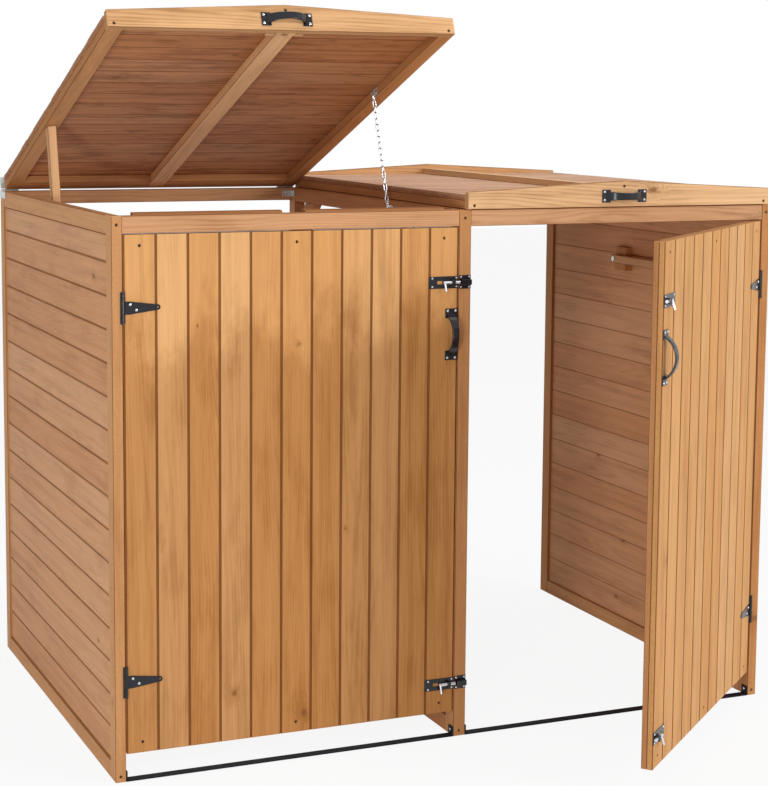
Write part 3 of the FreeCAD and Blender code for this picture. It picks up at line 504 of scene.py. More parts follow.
def wood(name, colour, ring_gap, contrast, knots, back=None, joint=0.8, knot_scale=BOARD_KNOTS):
    """Stained softwood. Its pattern follows each board's own grain."""
    s = Shader(name)
    grain = s.read("grain", "Vector")
    tone = s.read("tone")
    place = s.vector("ADD", grain, s.read("shift", "Vector"))
    parts = s.put("ShaderNodeSeparateXYZ", None, ((0, grain),))
    light, dark = toned(colour, 1.0), warmer(colour, DARK)
    # On the roof boards the back faces take a darker colour: painted shade under the lid, against a top lightened
    # as painted light
    if back is not None:
        side = s.math("GREATER_THAN", parts.outputs[2], 0.0)
        light = s.mix(side, toned(back, 1.0), light)
        dark = s.mix(side, warmer(back, DARK), dark)

    def pattern(scale, *rest):
        return s.noise(s.vector("MULTIPLY", place, scale), 1.0, *rest)

    # The few knots, as true distances on the face of the board
    cell_place = s.vector("MULTIPLY", place, knot_scale)
    inputs = (("Vector", cell_place), ("Scale", 1.0))
    cell = s.put("ShaderNodeTexVoronoi", {"voronoi_dimensions": "2D"}, inputs)
    away = s.vector("SUBTRACT", cell_place, cell.outputs["Position"])
    away = s.vector("MULTIPLY", away, (KNOT_STRETCH / knot_scale[0], 1.0 / knot_scale[1], 0.0))
    wobble = pattern(KNOT_WOBBLE, 1.0)
    distance = s.put("ShaderNodeVectorMath", {"operation": "LENGTH"}, ((0, away),)).outputs["Value"]
    distance = s.math("MULTIPLY", distance, s.ease(wobble, 0.2, 0.8, 0.6, 1.4))
    pick = s.put("ShaderNodeSeparateColor", None, ((0, cell.outputs["Color"]),)).outputs[0]
    radius = s.ease(pick, 1.0 - 0.55 * knots, 1.0, 0.0, KNOT_RADIUS)
    reach = s.math("MULTIPLY_ADD", radius, KNOT_REACH, HAIR)
    swirl = s.math("SUBTRACT", 1.0, s.ease(s.math("DIVIDE", distance, reach), 0.0, 1.0))
    core = s.math("DIVIDE", distance, s.math("ADD", radius, HAIR))
    core = s.math("SUBTRACT", 1.0, s.ease(core, 0.35, 1.1))
    core = s.math("MULTIPLY", core, s.math("GREATER_THAN", radius, LEAST_KNOT))

    # Growth rings round a pith that lies behind the board, a little out of line with it
    across = s.math("ADD", parts.outputs[1], s.math("MULTIPLY_ADD", tone, 0.08, -0.04))
    lean = s.math("MULTIPLY", parts.outputs[0], s.math("MULTIPLY_ADD", tone, 0.05, -0.025))
    behind = s.math("ADD", s.math("ADD", parts.outputs[2], PITH_DEPTH), lean)
    squares = (s.math("MULTIPLY", way, way) for way in (across, behind))
    ring = s.math("SQRT", s.math("ADD", *squares))
    ring = s.math("MULTIPLY_ADD", pattern(SLOW_WAVES, 2.0), SLOW_SWING, ring)
    ring = s.math("MULTIPLY_ADD", pattern(QUICK_WAVES, 2.0), QUICK_SWING, ring)
    ring = s.math("MULTIPLY_ADD", swirl, KNOT_SWING, ring)
    wave = s.math("SINE", s.math("MULTIPLY", ring, 2.0 * math.pi / ring_gap))
    late = s.ease(wave, -0.2, 1.0)

    # Fibres, streaks and blotches where the stain went in deeper
    fibre = pattern(FIBRES, 2.0, 0.6)
    streak = pattern(STREAKS, 3.0)
    blotch = pattern(BLOTCHES, 4.0, 0.6)
    clear = s.ease(blotch, 0.35, 0.65, 0.35, 1.0)
    depth = s.math("MULTIPLY", s.math("MULTIPLY", late, clear), RING_DEPTH * contrast)
    streaks = STREAK_DEPTH[0] + STREAK_DEPTH[1] * contrast
    depth = s.math("ADD", depth, s.ease(streak, 0.42, 0.78, 0.0, streaks))
    depth = s.math("ADD", depth, s.ease(fibre, 0.35, 0.8, 0.0, FIBRE_DEPTH))
    depth = s.math("ADD", depth, s.ease(blotch, 0.46, 0.76, 0.0, BLOTCH_DEPTH))
    if back is not None:
        patch = s.ease(pattern(PATCHES, 3.0, 0.7), 0.5, 0.64, 0.0, PATCH_DEPTH)
        depth = s.math("ADD", depth, s.math("MULTIPLY", patch, s.math("SUBTRACT", 1.0, side)))
    depth = s.math("MULTIPLY_ADD", swirl, SWIRL_DEPTH, depth)

    # Below a wavy line at the darkening height the colour is made darker, as much as the deepening says
    spot = s.put("ShaderNodeTexCoord").outputs["Object"]
    height = s.put("ShaderNodeSeparateXYZ", None, ((0, spot),)).outputs[2]
    line_wobble = pattern(DARKENING_WAVES, 4.0, 0.6)
    below = s.math("SUBTRACT", s.math("MULTIPLY_ADD", line_wobble, 0.5, s.read("stain_line")), height)
    below = s.ease(below, 0.18, 0.34)
    depth = s.math("MULTIPLY_ADD", s.read("deepening"), below, depth)
    base = s.mix(s.math("MINIMUM", depth, 1.0), light, dark)
    tint = s.put("ShaderNodeHueSaturation", None, (
        ("Hue", s.math("MULTIPLY_ADD", tone, 0.005, 0.4975)),
        ("Saturation", s.math("MULTIPLY_ADD", tone, -0.08, 1.04)),
        ("Value", s.math("MULTIPLY_ADD", tone, 0.11, 0.945)),
        ("Color", base),
    ))
    pale = s.mix(1.0, tint.outputs[0], PALE, "MULTIPLY")
    base = s.mix(s.ease(streak, 0.46, 0.26, 0.0, 0.5), tint.outputs[0], pale)
    base = s.mix(s.math("MULTIPLY", core, 0.7), base, KNOT_BROWN)
    # Painted highlight along the softened edges, with some rubbed wear: these faces are made lighter
    base = s.mix(s.math("MULTIPLY", s.read("edge"), 0.30), base, toned(colour, 1.10))
    # The V grooves are darkened: painted shade in the recess, with stain pooled there
    base = s.mix(s.math("MULTIPLY", s.read("groove"), joint), base, GROOVE_SHADE_AND_STAIN)
    sawn = s.math("MULTIPLY", s.read("end"), s.ease(pattern(SAWN_END, 2.0), 0.2, 0.8, 0.35, 0.9))
    base = s.mix(sawn, base, warmer(colour, END_DARK))
    s.set("Base Color", base)

    rough = s.math("MULTIPLY_ADD", fibre, 0.16, 0.54)
    rough = s.math("MULTIPLY_ADD", s.math("MAXIMUM", s.read("end"), s.read("groove")), 0.3, rough)
    s.set("Roughness", s.math("MULTIPLY_ADD", late, -0.05, rough))
    s.set("Specular IOR Level", 0.14)
    relief = s.math("MULTIPLY_ADD", late, 0.45, s.math("MULTIPLY", fibre, 0.55))
    relief = s.math("MULTIPLY_ADD", core, 0.6, relief)
    s.bump(relief, 0.35, BUMP)
    return s.material


def black_paint(name, colour, rough, gloss):
    """Black paint over steel, a little worn along the edges."""
    s = Shader(name)
    place = s.put("ShaderNodeTexCoord").outputs["Object"]
    peel = s.noise(place, 900.0, 2.0)
    dust = s.noise(place, 45.0, 4.0)
    base = s.mix(s.ease(dust, 0.45, 0.8, 0.0, 0.35), opaque(colour), toned(colour, 1.7))
    scratch = s.ease(s.noise(place, 260.0, 3.0), 0.52, 0.66)
    worn = s.math("MULTIPLY", s.read("edge"), s.math("MULTIPLY", scratch, 0.55))
    base = s.mix(worn, base, WORN_STEEL)
    s.set("Base Color", base)
    s.set("Roughness", s.ease(dust, 0.3, 0.8, rough, rough + 0.12))
    s.set("Specular IOR Level", gloss)
    s.set("Coat Weight", 0.1 * gloss)
    s.set("Coat Roughness", 0.12)
    s.bump(peel, 0.08, 0.0003)
    return s.material


def plated(name, colour, rough, spangle):
    """Zinc on steel, from bright plating to a dull galvanised sheet."""
    s = Shader(name)
    place = s.put("ShaderNodeTexCoord").outputs["Object"]
    crystal = s.put("ShaderNodeTexVoronoi", None, (("Vector", place), ("Scale", 260.0)))
    grey = s.put("ShaderNodeSeparateColor", None, ((0, crystal.outputs["Color"]),)).outputs[0]
    cloud = s.noise(place, 70.0, 3.0)
    base = s.mix(s.math("MULTIPLY", grey, spangle), opaque(colour), toned(colour, 0.65))
    base = s.mix(s.ease(cloud, 0.5, 0.85, 0.0, 0.4), base, toned(colour, 0.6))
    # Sunk screws are made dark, matt and not metallic: painted shade at the bottom of their holes
    sunk = s.read("sunk")
    base = s.mix(s.math("MULTIPLY", sunk, 0.94), base, SUNK_HOLE_SHADE)
    s.set("Base Color", base)
    s.set("Metallic", s.math("MULTIPLY_ADD", sunk, -0.85, 0.85))
    s.set("Roughness", s.math("MULTIPLY_ADD", sunk, 0.5, s.math("MULTIPLY_ADD", cloud, 0.18, rough)))
    s.bump(s.noise(place, 1400.0, 2.0), 0.06, 0.0002)
    return s.material


FINISHES = {}


def finish(kind):
    """The finish of that name, built once from the panel's values."""
    if kind in FINISHES:
        return FINISHES[kind]
    timber = bpy.context.scene.bin_store_timber
    metal = bpy.context.scene.bin_store_fittings
    if kind == "paint":
        made = black_paint("Glossy black paint", tuple(metal.paint), rough=0.13, gloss=0.38)
    elif kind == "matt":
        made = black_paint("Matt black paint", tuple(metal.paint), rough=0.62, gloss=0.1)
    elif kind == "zinc":
        made = plated("Bright zinc", tuple(metal.zinc), rough=0.16, spangle=0.12)
    elif kind == "galvanised":
        made = plated("Galvanised steel", tuple(metal.galvanised), rough=0.30, spangle=0.45)
    else:
        name, colour, ways = {
            "door": ("Door board stain", timber.door_wood, {"contrast": 0.4, "knots": 0.7}),
            "wall": ("Wall board stain", timber.wall_wood, {"contrast": 0.5, "knots": 0.7, "joint": 0.4}),
            # Roof boards: a lighter top as painted light, a darker underside as painted shade
            "roof": (
                "Roof board stain", timber.roof_wood_with_top_light,
                {"contrast": 1.2, "knots": 0.9, "back": tuple(timber.soffit_wood_with_shade)},
            ),
            # The ridge batten takes the lighter fascia stain: partly its own tone, partly painted light on a side
            # face that gets little lamp light
            "batten": ("Ridge batten stain", timber.fascia_wood, {"contrast": 0.8, "knots": 0.5}),
            "post": (
                "Post stain", timber.post_wood,
                {"contrast": 0.5, "knots": 0.7, "knot_scale": POST_KNOTS},
            ),
            "rail": (
                "Front rail stain", timber.rail_wood,
                {"contrast": 1.0, "knots": 0.9, "knot_scale": POST_KNOTS},
            ),
            "fascia": ("Fascia stain", timber.fascia_wood, {"contrast": 1.1, "knots": 0.9}),
            # The beam's lighter stain is painted light on a face in shade
            "beam": ("Lid beam stain", timber.beam_wood_with_light, {"contrast": 0.7, "knots": 0.5}),
            "frame": ("Inner timber stain", timber.frame_wood, {"contrast": 0.6, "knots": 0.6}),
            "stick": ("Bare stick wood", timber.stick_wood, {"contrast": 0.8, "knots": 0.3}),
        }[kind]
        made = wood(name, tuple(colour), timber.ring_gap, **ways)
    FINISHES[kind] = made
    return made


# Timber

LONG_EDGE = 0.006
CREASE = math.radians(20.0)
FLAT = math.radians(0.5)
SLANT = Matrix.Rotation(math.radians(45.0), 3, "X")
EVEN_SPAN = 0.001
EVERYWHERE = 9.0
SIDE_SHARE = 0.5
GRAIN_SHIFT = 9.0


def extents(places):
    """The lowest and highest corner of some points, and the axes from the longest way to the shortest."""
    low = [min(p[i] for p in places) for i in range(3)]
    high = [max(p[i] for p in places) for i in range(3)]
    return low, high, sorted(range(3), key=lambda i: low[i] - high[i])


def mark_grain(bm, body):
    """Writes each board's own directions, and which of its faces are ends or grooves.

    The brace lies at 45 degrees, so it is as long as it is high, and is turned level first.
    """
    grain = bm.verts.layers.float_vector.new("grain")
    end = bm.faces.layers.float.new("end")
    groove = bm.faces.layers.float.new("groove")
    turn = shut_turn(body)
    for group in islands(bm):
        places = [turn @ v.co for v in group]
        low, high, order = extents(places)
        if body == "store_frame" and abs((high[1] - low[1]) - (high[2] - low[2])) < EVEN_SPAN:
            places = [SLANT @ p for p in places]
            low, high, order = extents(places)
        middle = [(a + b) / 2.0 for a, b in zip(low, high)]
        for vertex, place in zip(group, places):
            vertex[grain] = Vector([place[i] - middle[i] for i in order])
        faces = {face for vertex in group for face in vertex.link_faces}
        for face in faces:
            normal = turn @ face.normal
            along = abs(normal[order[0]])
            across = abs(normal[order[1]])
            face[end] = 1.0 if along > 0.8 else SIDE_SHARE if across > 0.9 else 0.0
            face[groove] = 1.0 if along < 0.2 and 0.3 < across < 0.87 else 0.0


def soften(bm, width):
    """Takes the sharpness off the long edges and marks the faces that this makes."""
    edges = [
        e for e in bm.edges
        if e.is_manifold and e.calc_length() > LONG_EDGE and e.calc_face_angle() > CREASE
    ]
    edge = bm.faces.layers.float.new("edge")
    made = bmesh.ops.bevel(
        bm, geom=edges, offset=width, offset_type="OFFSET", segments=1,
        profile=0.5, affect="EDGES", clamp_overlap=True,
    )
    for face in made["faces"]:
        face[edge] = 1.0


def timber(node, kind, width, seed, deepening=0.0, stain_line=EVERYWHERE):
    """A timber node with softened edges, its own grain and its stain."""
    bm = merged(node)
    bmesh.ops.dissolve_limit(bm, angle_limit=FLAT, verts=bm.verts, edges=bm.edges)
    soften(bm, width)
    bm.normal_update()
    mark_grain(bm, BODY_OF[node])
    piece = settled(bm, node + "_timber")
    given = bpy.context.scene.bin_store_timber
    tree("boards").apply(piece, {
        "Seed": given.seed + seed, "Tone spread": given.tone_spread, "Grain shift": GRAIN_SHIFT,
        "Deepening": deepening, "Stain line": stain_line, "Finish": finish(kind),
    })
    return hand_over(piece, node)


# Metal

SHEET_FLAT = math.radians(0.3)
SHEET_CREASE = math.radians(32.0)


def metal(node, kind, width):
    """A metal node with softened edges and smooth round faces."""
    bm = merged(node)
    bmesh.ops.dissolve_limit(bm, angle_limit=SHEET_FLAT, verts=bm.verts, edges=bm.edges)
    soften(bm, width)
    for face in bm.faces:
        face.smooth = True
    for e in bm.edges:
        e.smooth = not e.is_manifold or e.calc_face_angle(0.0) < SHEET_CREASE
    piece = settled(bm, node + "_metal")
    piece.data.materials.append(finish(kind))
    weigh = piece.modifiers.new("Even shading", "WEIGHTED_NORMAL")
    weigh.keep_sharp = True
    return hand_over(piece, node)


# Forms that repeat

HEAD_SIDES = 20
HEAD_PROFILE = ((1.0, 0.0), (1.0, 0.22), (0.94, 0.55), (0.78, 0.84), (0.56, 1.0))
CROSS_ARM = 0.44
CROSS_HALF = 0.1
CROSS_TAPER = 0.8
CROSS_FLOOR = 0.45


def band(bm, low, high):
    """Closes the strip of faces between two rings of as many corners."""
    count = len(low)
    for i in range(count):
        j = (i + 1) % count
        bm.faces.new((low[i], low[j], high[j], high[i]))


def screw_form():
    """A low round head, one unit in radius and height, with a cross recess."""
    bm = bmesh.new()
    rings = []
    for radius, height in HEAD_PROFILE:
        rings.append([
            bm.verts.new((radius * math.cos(a), radius * math.sin(a), height))
            for a in (2.0 * math.pi * i / HEAD_SIDES for i in range(HEAD_SIDES))
        ])
    for low, high in zip(rings, rings[1:]):
        band(bm, low, high)
    bm.faces.new(list(reversed(rings[0])))
    corners = []
    for quarter in range(4):
        turn = Matrix.Rotation(quarter * math.pi / 2.0, 2)
        for x, y in ((CROSS_ARM, -CROSS_HALF), (CROSS_ARM, CROSS_HALF), (CROSS_HALF, CROSS_HALF)):
            corners.append(turn @ Vector((x, y)))
    top = [bm.verts.new((c.x, c.y, 1.0)) for c in corners]
    floor = [bm.verts.new((c.x * CROSS_TAPER, c.y * CROSS_TAPER, CROSS_FLOOR)) for c in corners]
    rim = [bm.edges.new(pair) for pair in zip(top, top[1:] + top[:1])]
    outer = [bm.edges.get(pair) for pair in zip(rings[-1], rings[-1][1:] + rings[-1][:1])]
    bmesh.ops.triangle_fill(bm, use_beauty=True, edges=rim + outer)
    band(bm, top, floor)
    bm.faces.new(floor)
    bmesh.ops.recalc_face_normals(bm, faces=bm.faces)
    return settled(bm, "screw_form")


LINK_STEPS = 8
WIRE_SIDES = 10


def link_form(length, width, wire):
    """One chain link of round wire, lying along X."""
    bm = bmesh.new()
    radius = (width - wire) / 2.0
    straight = (length - wire) / 2.0 - radius
    rings = []
    for side, first in ((1, -90), (-1, 90)):
        for step in range(LINK_STEPS + 1):
            a = math.radians(first + step * 180.0 / LINK_STEPS)
            out = Vector((math.cos(a), math.sin(a), 0.0))
            centre = out * radius + Vector((side * straight, 0.0, 0.0))
            ring = []
            for i in range(WIRE_SIDES):
                b = 2.0 * math.pi * i / WIRE_SIDES
                rise = Vector((0, 0, wire / 2.0 * math.sin(b)))
                ring.append(bm.verts.new(centre + out * (wire / 2.0 * math.cos(b)) + rise))
            rings.append(ring)
    for low, high in zip(rings, rings[1:] + rings[:1]):
        band(bm, low, high)
    for face in bm.faces:
        face.smooth = True
    bmesh.ops.recalc_face_normals(bm, faces=bm.faces)
    return settled(bm, "link_form")


def points_object(name, spots):
    """A mesh of loose points, each with the turn and the size of what stands on it."""
    mesh = bpy.data.meshes.new(name)
    mesh.from_pydata([spot["place"] for spot in spots], [], [])
    for key in ("turn", "size"):
        layer = mesh.attributes.new(key, "FLOAT_VECTOR", "POINT")
        for item, spot in zip(layer.data, spots):
            item.vector = spot[key]
    layer = mesh.attributes.new("sunk", "FLOAT", "POINT")
    for item, spot in zip(layer.data, spots):
        item.value = spot.get("sunk", 0.0)
    return new_object(name, mesh)


def screw_spots(node):
    """Where the screws of a node are: each one's seat, the way it faces, its radius and height.

    A screw whose two ends are alike is sunk in the wood, and faces the front.
    """
    bm = merged(node)
    turn = shut_turn(BODY_OF[node])
    spots = []
    for group in islands(bm):
        faces = {face for vertex in group for face in vertex.link_faces}
        areas = {}
        for face in faces:
            key = tuple(round(c, 2) for c in face.normal)
            areas[key] = areas.get(key, 0.0) + face.calc_area()
        best = sorted(areas, key=lambda k: areas[k])[-2:]
        seat, crown = Vector(best[1]), Vector(best[0])
        sunk = abs(areas[best[0]] - areas[best[1]]) < 0.01 * areas[best[1]]
        crown = max((seat, crown), key=lambda n: -(turn @ n).y) if sunk else -seat
        crown.normalize()
        heights = [v.co.dot(crown) for v in group]
        middle = sum((v.co for v in group), Vector()) / len(group)
        radius = max((v.co - middle - crown * (v.co - middle).dot(crown)).length for v in group)
        height = max(heights) - min(heights)
        place = middle + crown * (min(heights) - middle.dot(crown))
        spots.append({
            "place": place,
            "turn": crown.to_track_quat("Z", "Y").to_euler(),
            "size": (radius, radius, height),
            "sunk": float(sunk),
        })
    bm.free()
    return spots


def principal(points):
    """The middle of a set of points and its axes, from the longest to the shortest."""
    cloud = np.array([tuple(p) for p in points])
    middle = cloud.mean(0)
    _, axes = np.linalg.eigh(np.cov((cloud - middle).T))
    return Vector(middle), [Vector(axes[:, i]) for i in (2, 1, 0)]


def link_spots(node):
    """Where the links of a chain are, which way each one lies, and their common size."""
    bm = merged(node)
    spots = []
    spans = []
    for group in islands(bm):
        points = [v.co.copy() for v in group]
        middle, (along, side, _) = principal(points)
        flat = along.cross(side)
        reaches = [[p.dot(axis) for p in points] for axis in (along, side, flat)]
        spans.append([max(reach) - min(reach) for reach in reaches])
        basis = Matrix((along, side, flat)).transposed()
        spots.append({"place": middle, "turn": basis.to_euler(), "size": (1.0, 1.0, 1.0)})
    bm.free()
    return spots, [sum(column) / len(spans) for column in zip(*spans)]


def repeats(node, suffix, spots, form, spin, seed):
    piece = points_object(node + suffix, spots)
    tree("repeats").apply(piece, {"Form": form, "Spin": spin, "Seed": seed, "Finish": finish("zinc")})
    bpy.data.objects.remove(form)
    return piece


# Operators, one for each group of like pieces

FRAME_TIMBERS = (
    # node, kind of wood, seed, how much darker it is made
    ("side_posts", "post", 0, 0.0),
    ("centre_posts", "post", 1, 0.12),
    ("wall_rails", "post", 2, 0.0),
    ("front_rails", "rail", 503, 0.0),
    ("centre_rails", "frame", 4, 0.0),
    ("centre_brace", "frame", 5, 0.0),
    ("front_rail_strips", "frame", 6, 0.3),
    # The back rails take the lighter front-rail stain: painted light where the lid shades them
    ("back_rails", "rail", 7, 0.1),
    ("prop_blocks", "frame", 8, 0.0),
)

LID_TIMBERS = (
    # end of the node's name, kind of wood, seed after that of the lid
    ("_front_fascia", "fascia", 1),
    ("_rear_fascia", "fascia", 2),
    ("_rails", "frame", 203),
    ("_beam", "beam", 4),
    ("_ridge_batten", "batten", 5),
)

# Of each side: the seeds of its lid, door boards and door frame, and how much darker the door is made below its
# darkening height
SIDES = (("left", 30, 50, 52, 0.55), ("right", 40, 51, 53, 0.0))


class BINSTORE_OT_frame_timbers(bpy.types.Operator):
    """Posts, rails, strips, brace and blocks of the frame"""

    bl_idname = "binstore.frame_timbers"
    bl_label = "Frame timbers"

    def execute(self, context):
        width = context.scene.bin_store_timber.post_round
        for node, kind, seed, deepening in FRAME_TIMBERS:
            timber(node, kind, width, seed, deepening)
        return {"FINISHED"}


class BINSTORE_OT_wall_boards(bpy.types.Operator):
    """Matched boards of both side walls"""

    bl_idname = "binstore.wall_boards"
    bl_label = "Wall boards"

    def execute(self, context):
        width = context.scene.bin_store_timber.board_round
        timber("left_wall_boards", "wall", width, 20)
        timber("right_wall_boards", "wall", width, 21)
        return {"FINISHED"}


class BINSTORE_OT_lids(bpy.types.Operator):
    """Boards, fascias, rails, beam and batten of both lids"""

    bl_idname = "binstore.lids"
    bl_label = "Lids"

    def execute(self, context):
        given = context.scene.bin_store_timber
        for side, seed, *_ in SIDES:
            timber(side + "_lid_roof_boards", "roof", given.board_round, seed)
            for end, kind, more in LID_TIMBERS:
                timber(side + "_lid" + end, kind, given.post_round, seed + more)
        return {"FINISHED"}


class BINSTORE_OT_doors(bpy.types.Operator):
    """Boards, stiles and ledges of both doors"""

    bl_idname = "binstore.doors"
    bl_label = "Doors"

    def execute(self, context):
        given = context.scene.bin_store_timber
        for side, _, board_seed, frame_seed, deepening in SIDES:
            timber(side + "_door_boards", "door", given.board_round, board_seed, deepening, given.stain_line)
            timber(side + "_door_frame", "frame", given.post_round, frame_seed)
        return {"FINISHED"}


class BINSTORE_OT_prop_sticks(bpy.types.Operator):
    """The stick that stands under each open lid"""

    bl_idname = "binstore.prop_sticks"
    bl_label = "Prop sticks"

    def execute(self, context):
        width = context.scene.bin_store_timber.post_round
        timber("left_prop_stick", "stick", width, 60)
        timber("right_prop_stick", "stick", width, 61)
        return {"FINISHED"}


class BINSTORE_OT_black_fittings(bpy.types.Operator):
    """Black hinges, bolt plates, keepers, ground bars and bow handles"""

    bl_idname = "binstore.black_fittings"
    bl_label = "Black fittings"

    def execute(self, context):
        width = context.scene.bin_store_fittings.metal_round
        metal("door_hinge_leaves", "paint", width)
        metal("bolt_keepers", "paint", width)
        metal("ground_bars", "matt", width)
        for side in ("left", "right"):
            metal(side + "_door_hinge_straps", "paint", width)
            metal(side + "_door_bolt_plates", "paint", width)
            metal(side + "_door_handle", "paint", width)
            metal(side + "_lid_handle", "paint", width)
        return {"FINISHED"}


GALVANISED = (
    "corner_plates", "lid_hinge_frame_leaves", "chain_anchor_plates", "prop_pivot_screws",
    "left_lid_hinge_leaves", "right_lid_hinge_leaves", "left_lid_chain_plate", "right_lid_chain_plate",
)


class BINSTORE_OT_bright_fittings(bpy.types.Operator):
    """Zinc bolts and galvanised plates and lid hinges"""

    bl_idname = "binstore.bright_fittings"
    bl_label = "Bright fittings"

    def execute(self, context):
        width = context.scene.bin_store_fittings.metal_round
        for node in GALVANISED:
            metal(node, "galvanised", width)
        for side in ("left", "right"):
            metal(side + "_upper_bolt", "zinc", width)
            metal(side + "_lower_bolt", "zinc", width)
        return {"FINISHED"}


class BINSTORE_OT_screws(bpy.types.Operator):
    """Cross-recessed screw heads in the frame, the lids and the doors"""

    bl_idname = "binstore.screws"
    bl_label = "Screws"

    def execute(self, context):
        for seed, holder in enumerate(("frame", "left_lid", "right_lid", "left_door", "right_door")):
            node = holder + "_screws"
            hand_over(repeats(node, "_heads", screw_spots(node), screw_form(), math.pi, seed), node)
        return {"FINISHED"}


# Of each chain: the way from its frame half to its lid half, and whether its frame half rises or falls
CHAIN_WAYS = (("left", Vector((0, 0, 1)), 1), ("right", Vector((1, 0, 0)), -1))


class BINSTORE_OT_chains(bpy.types.Operator):
    """The stay chain of each lid, half on the lid and half between the frame and the lid"""

    bl_idname = "binstore.chains"
    bl_label = "Stay chains"

    def execute(self, context):
        for side, lidward, rise in CHAIN_WAYS:
            node = side + "_chain"
            lid = side + "_lid"
            spots, (length, width, wire) = link_spots(node)
            low, high = (Vector(corner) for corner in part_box(node))
            halves = ([], [])
            for spot in spots:
                halves[(spot["place"] - (low + high) / 2.0).dot(lidward) > 0.0].append(spot)
            on_frame, on_lid = halves
            hand_over(repeats(node, "_lid_links", on_lid, link_form(length, width, wire), 0.0, 0), node, lid)
            piece = repeats(node, "_frame_links", on_frame, link_form(length, width, wire), 0.0, 0)
            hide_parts(node)
            on_frame.sort(key=lambda spot: rise * spot["place"].z)
            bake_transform(piece)
        return {"FINISHED"}


FLOOR_HALF = 14.0
FLOOR_DROP = 0.0006
FLOOR_GLOW = 0.9
WHITE = (1.0, 1.0, 1.0, 1.0)
SKY = (0.97, 0.98, 1.0, 1.0)

LAMPS = (
    # name, place, target, size
    ("right", (4.0, -4.8, 2.6), (0.0, -0.2, 0.7), 2.0),
    ("left", (-3.5, -5.0, 2.6), (0.0, 0.0, 0.7), 1.0),
    ("low", (-3.6, -4.2, 0.4), (-0.2, 0.2, 0.9), 0.8),
    ("top", (0.2, -0.6, 5.4), (0.0, 0.4, 0.8), 3.4),
)

CAMERA_PLACE = (-1.7379, -4.1107, 1.3863)
CAMERA_TURN = (math.radians(83.458), math.radians(-0.449), math.radians(-23.287))
CAMERA_SENSOR = 36.0
CAMERA_SHIFT = -80.0 / 786.0
CAMERA_REACH = 100.0


def looked_at(nodes, links):
    """1 for the rays that only show a surface, straight, mirrored or through glass, and 0 for the rest."""
    ray = nodes.new("ShaderNodeLightPath")
    share = ray.outputs["Is Camera Ray"]
    for kind in ("Is Glossy Ray", "Is Transmission Ray"):
        either = nodes.new("ShaderNodeMath")
        either.operation = "MAXIMUM"
        links.new(share, either.inputs[0])
        links.new(ray.outputs[kind], either.inputs[1])
        share = either.outputs[0]
    return share


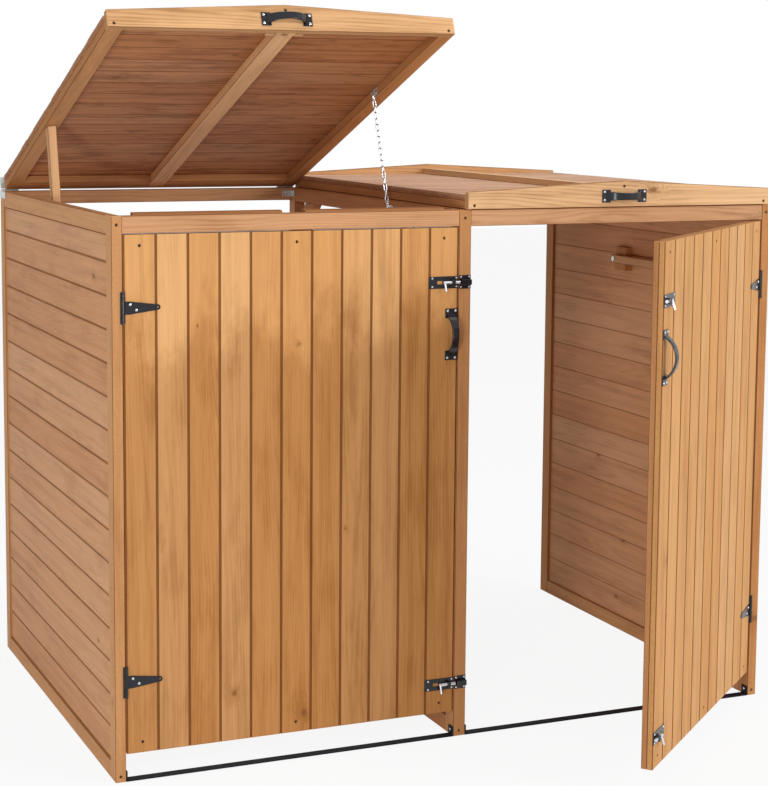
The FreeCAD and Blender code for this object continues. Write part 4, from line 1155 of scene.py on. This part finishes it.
class BINSTORE_OT_stage(bpy.types.Operator):
    """Floor, backdrop, lamps and camera"""

    bl_idname = "binstore.stage"
    bl_label = "Stage"

    def execute(self, context):
        scene = context.scene
        given = scene.bin_store_stage
        scene.view_settings.view_transform = "Standard"
        self.floor(tuple(given.floor))
        scene.world = self.backdrop(given.sky)
        for name, place, target, size in LAMPS:
            self.lamp(name, place, target, size, getattr(given, name))
        scene.camera = self.camera(given.lens)
        return {"FINISHED"}

    def floor(self, colour):
        s = Shader("Pale floor")
        s.set("Base Color", opaque(colour))
        s.set("Roughness", 0.9)
        s.set("Specular IOR Level", 0.1)
        seen = s.put("ShaderNodeEmission", None, (("Color", WHITE), ("Strength", 1.0)))
        share = s.math("MULTIPLY", looked_at(s.nodes, s.links), FLOOR_GLOW)
        inputs = ((0, share), (1, s.surface.outputs[0]), (2, seen.outputs[0]))
        both = s.put("ShaderNodeMixShader", None, inputs)
        s.links.new(both.outputs[0], s.nodes["Material Output"].inputs["Surface"])
        bm = bmesh.new()
        bmesh.ops.create_grid(bm, x_segments=1, y_segments=1, size=FLOOR_HALF)
        bmesh.ops.translate(bm, verts=bm.verts, vec=(0.0, 0.0, -FLOOR_DROP))
        piece = settled(bm, "floor")
        piece.data.materials.append(s.material)

    def backdrop(self, strength):
        world = bpy.data.worlds.new("Studio")
        world.use_nodes = True
        nodes = world.node_tree.nodes
        links = world.node_tree.links
        even = nodes["Background"]
        even.inputs["Color"].default_value = SKY
        even.inputs["Strength"].default_value = strength
        seen = nodes.new("ShaderNodeBackground")
        seen.inputs["Color"].default_value = WHITE
        both = nodes.new("ShaderNodeMixShader")
        for socket, source in zip(both.inputs, (looked_at(nodes, links), even.outputs[0], seen.outputs[0])):
            links.new(source, socket)
        links.new(both.outputs[0], nodes["World Output"].inputs["Surface"])
        return world

    def lamp(self, name, place, target, size, power):
        light = bpy.data.lights.new(name, "AREA")
        light.size = size
        light.energy = power
        holder = new_object(name, light)
        holder.location = place
        holder.rotation_euler = (Vector(target) - Vector(place)).to_track_quat("-Z", "Y").to_euler()

    def camera(self, lens):
        camera = bpy.data.cameras.new("camera")
        camera.lens = lens
        camera.sensor_width = CAMERA_SENSOR
        camera.shift_y = CAMERA_SHIFT
        camera.clip_end = CAMERA_REACH
        holder = new_object("camera", camera)
        holder.location = CAMERA_PLACE
        holder.rotation_euler = Euler(CAMERA_TURN)
        return holder


STEPS = (
    BINSTORE_OT_frame_timbers,
    BINSTORE_OT_wall_boards,
    BINSTORE_OT_lids,
    BINSTORE_OT_doors,
    BINSTORE_OT_prop_sticks,
    BINSTORE_OT_black_fittings,
    BINSTORE_OT_bright_fittings,
    BINSTORE_OT_screws,
    BINSTORE_OT_chains,
    BINSTORE_OT_stage,
)


class BINSTORE_PT_panel(bpy.types.Panel):
    """Sizes, colours and steps of the bin store"""

    bl_idname = "BINSTORE_PT_panel"
    bl_label = "Bin store"
    bl_space_type = "VIEW_3D"
    bl_region_type = "UI"
    bl_category = "Bin Store"

    def draw(self, context):
        layout = self.layout
        scene = context.scene
        for group in (scene.bin_store_timber, scene.bin_store_fittings, scene.bin_store_stage):
            box = layout.box()
            for key in group.__annotations__:
                box.prop(group, key)
        for step in STEPS:
            layout.operator(step.bl_idname)


GROUPS = (
    ("bin_store_timber", BINSTORE_PG_timber),
    ("bin_store_fittings", BINSTORE_PG_fittings),
    ("bin_store_stage", BINSTORE_PG_stage),
)


def register():
    for name, group in GROUPS:
        bpy.utils.register_class(group)
        setattr(bpy.types.Scene, name, PointerProperty(type=group))
    for step in STEPS:
        bpy.utils.register_class(step)
    bpy.utils.register_class(BINSTORE_PT_panel)


def unregister():
    bpy.utils.unregister_class(BINSTORE_PT_panel)
    for step in reversed(STEPS):
        bpy.utils.unregister_class(step)
    for name, group in reversed(GROUPS):
        delattr(bpy.types.Scene, name)
        bpy.utils.unregister_class(group)


def main():
    register()
    for step in STEPS:
        group, name = step.bl_idname.split(".")
        getattr(getattr(bpy.ops, group), name)()


if __name__ == "__main__":
    main()
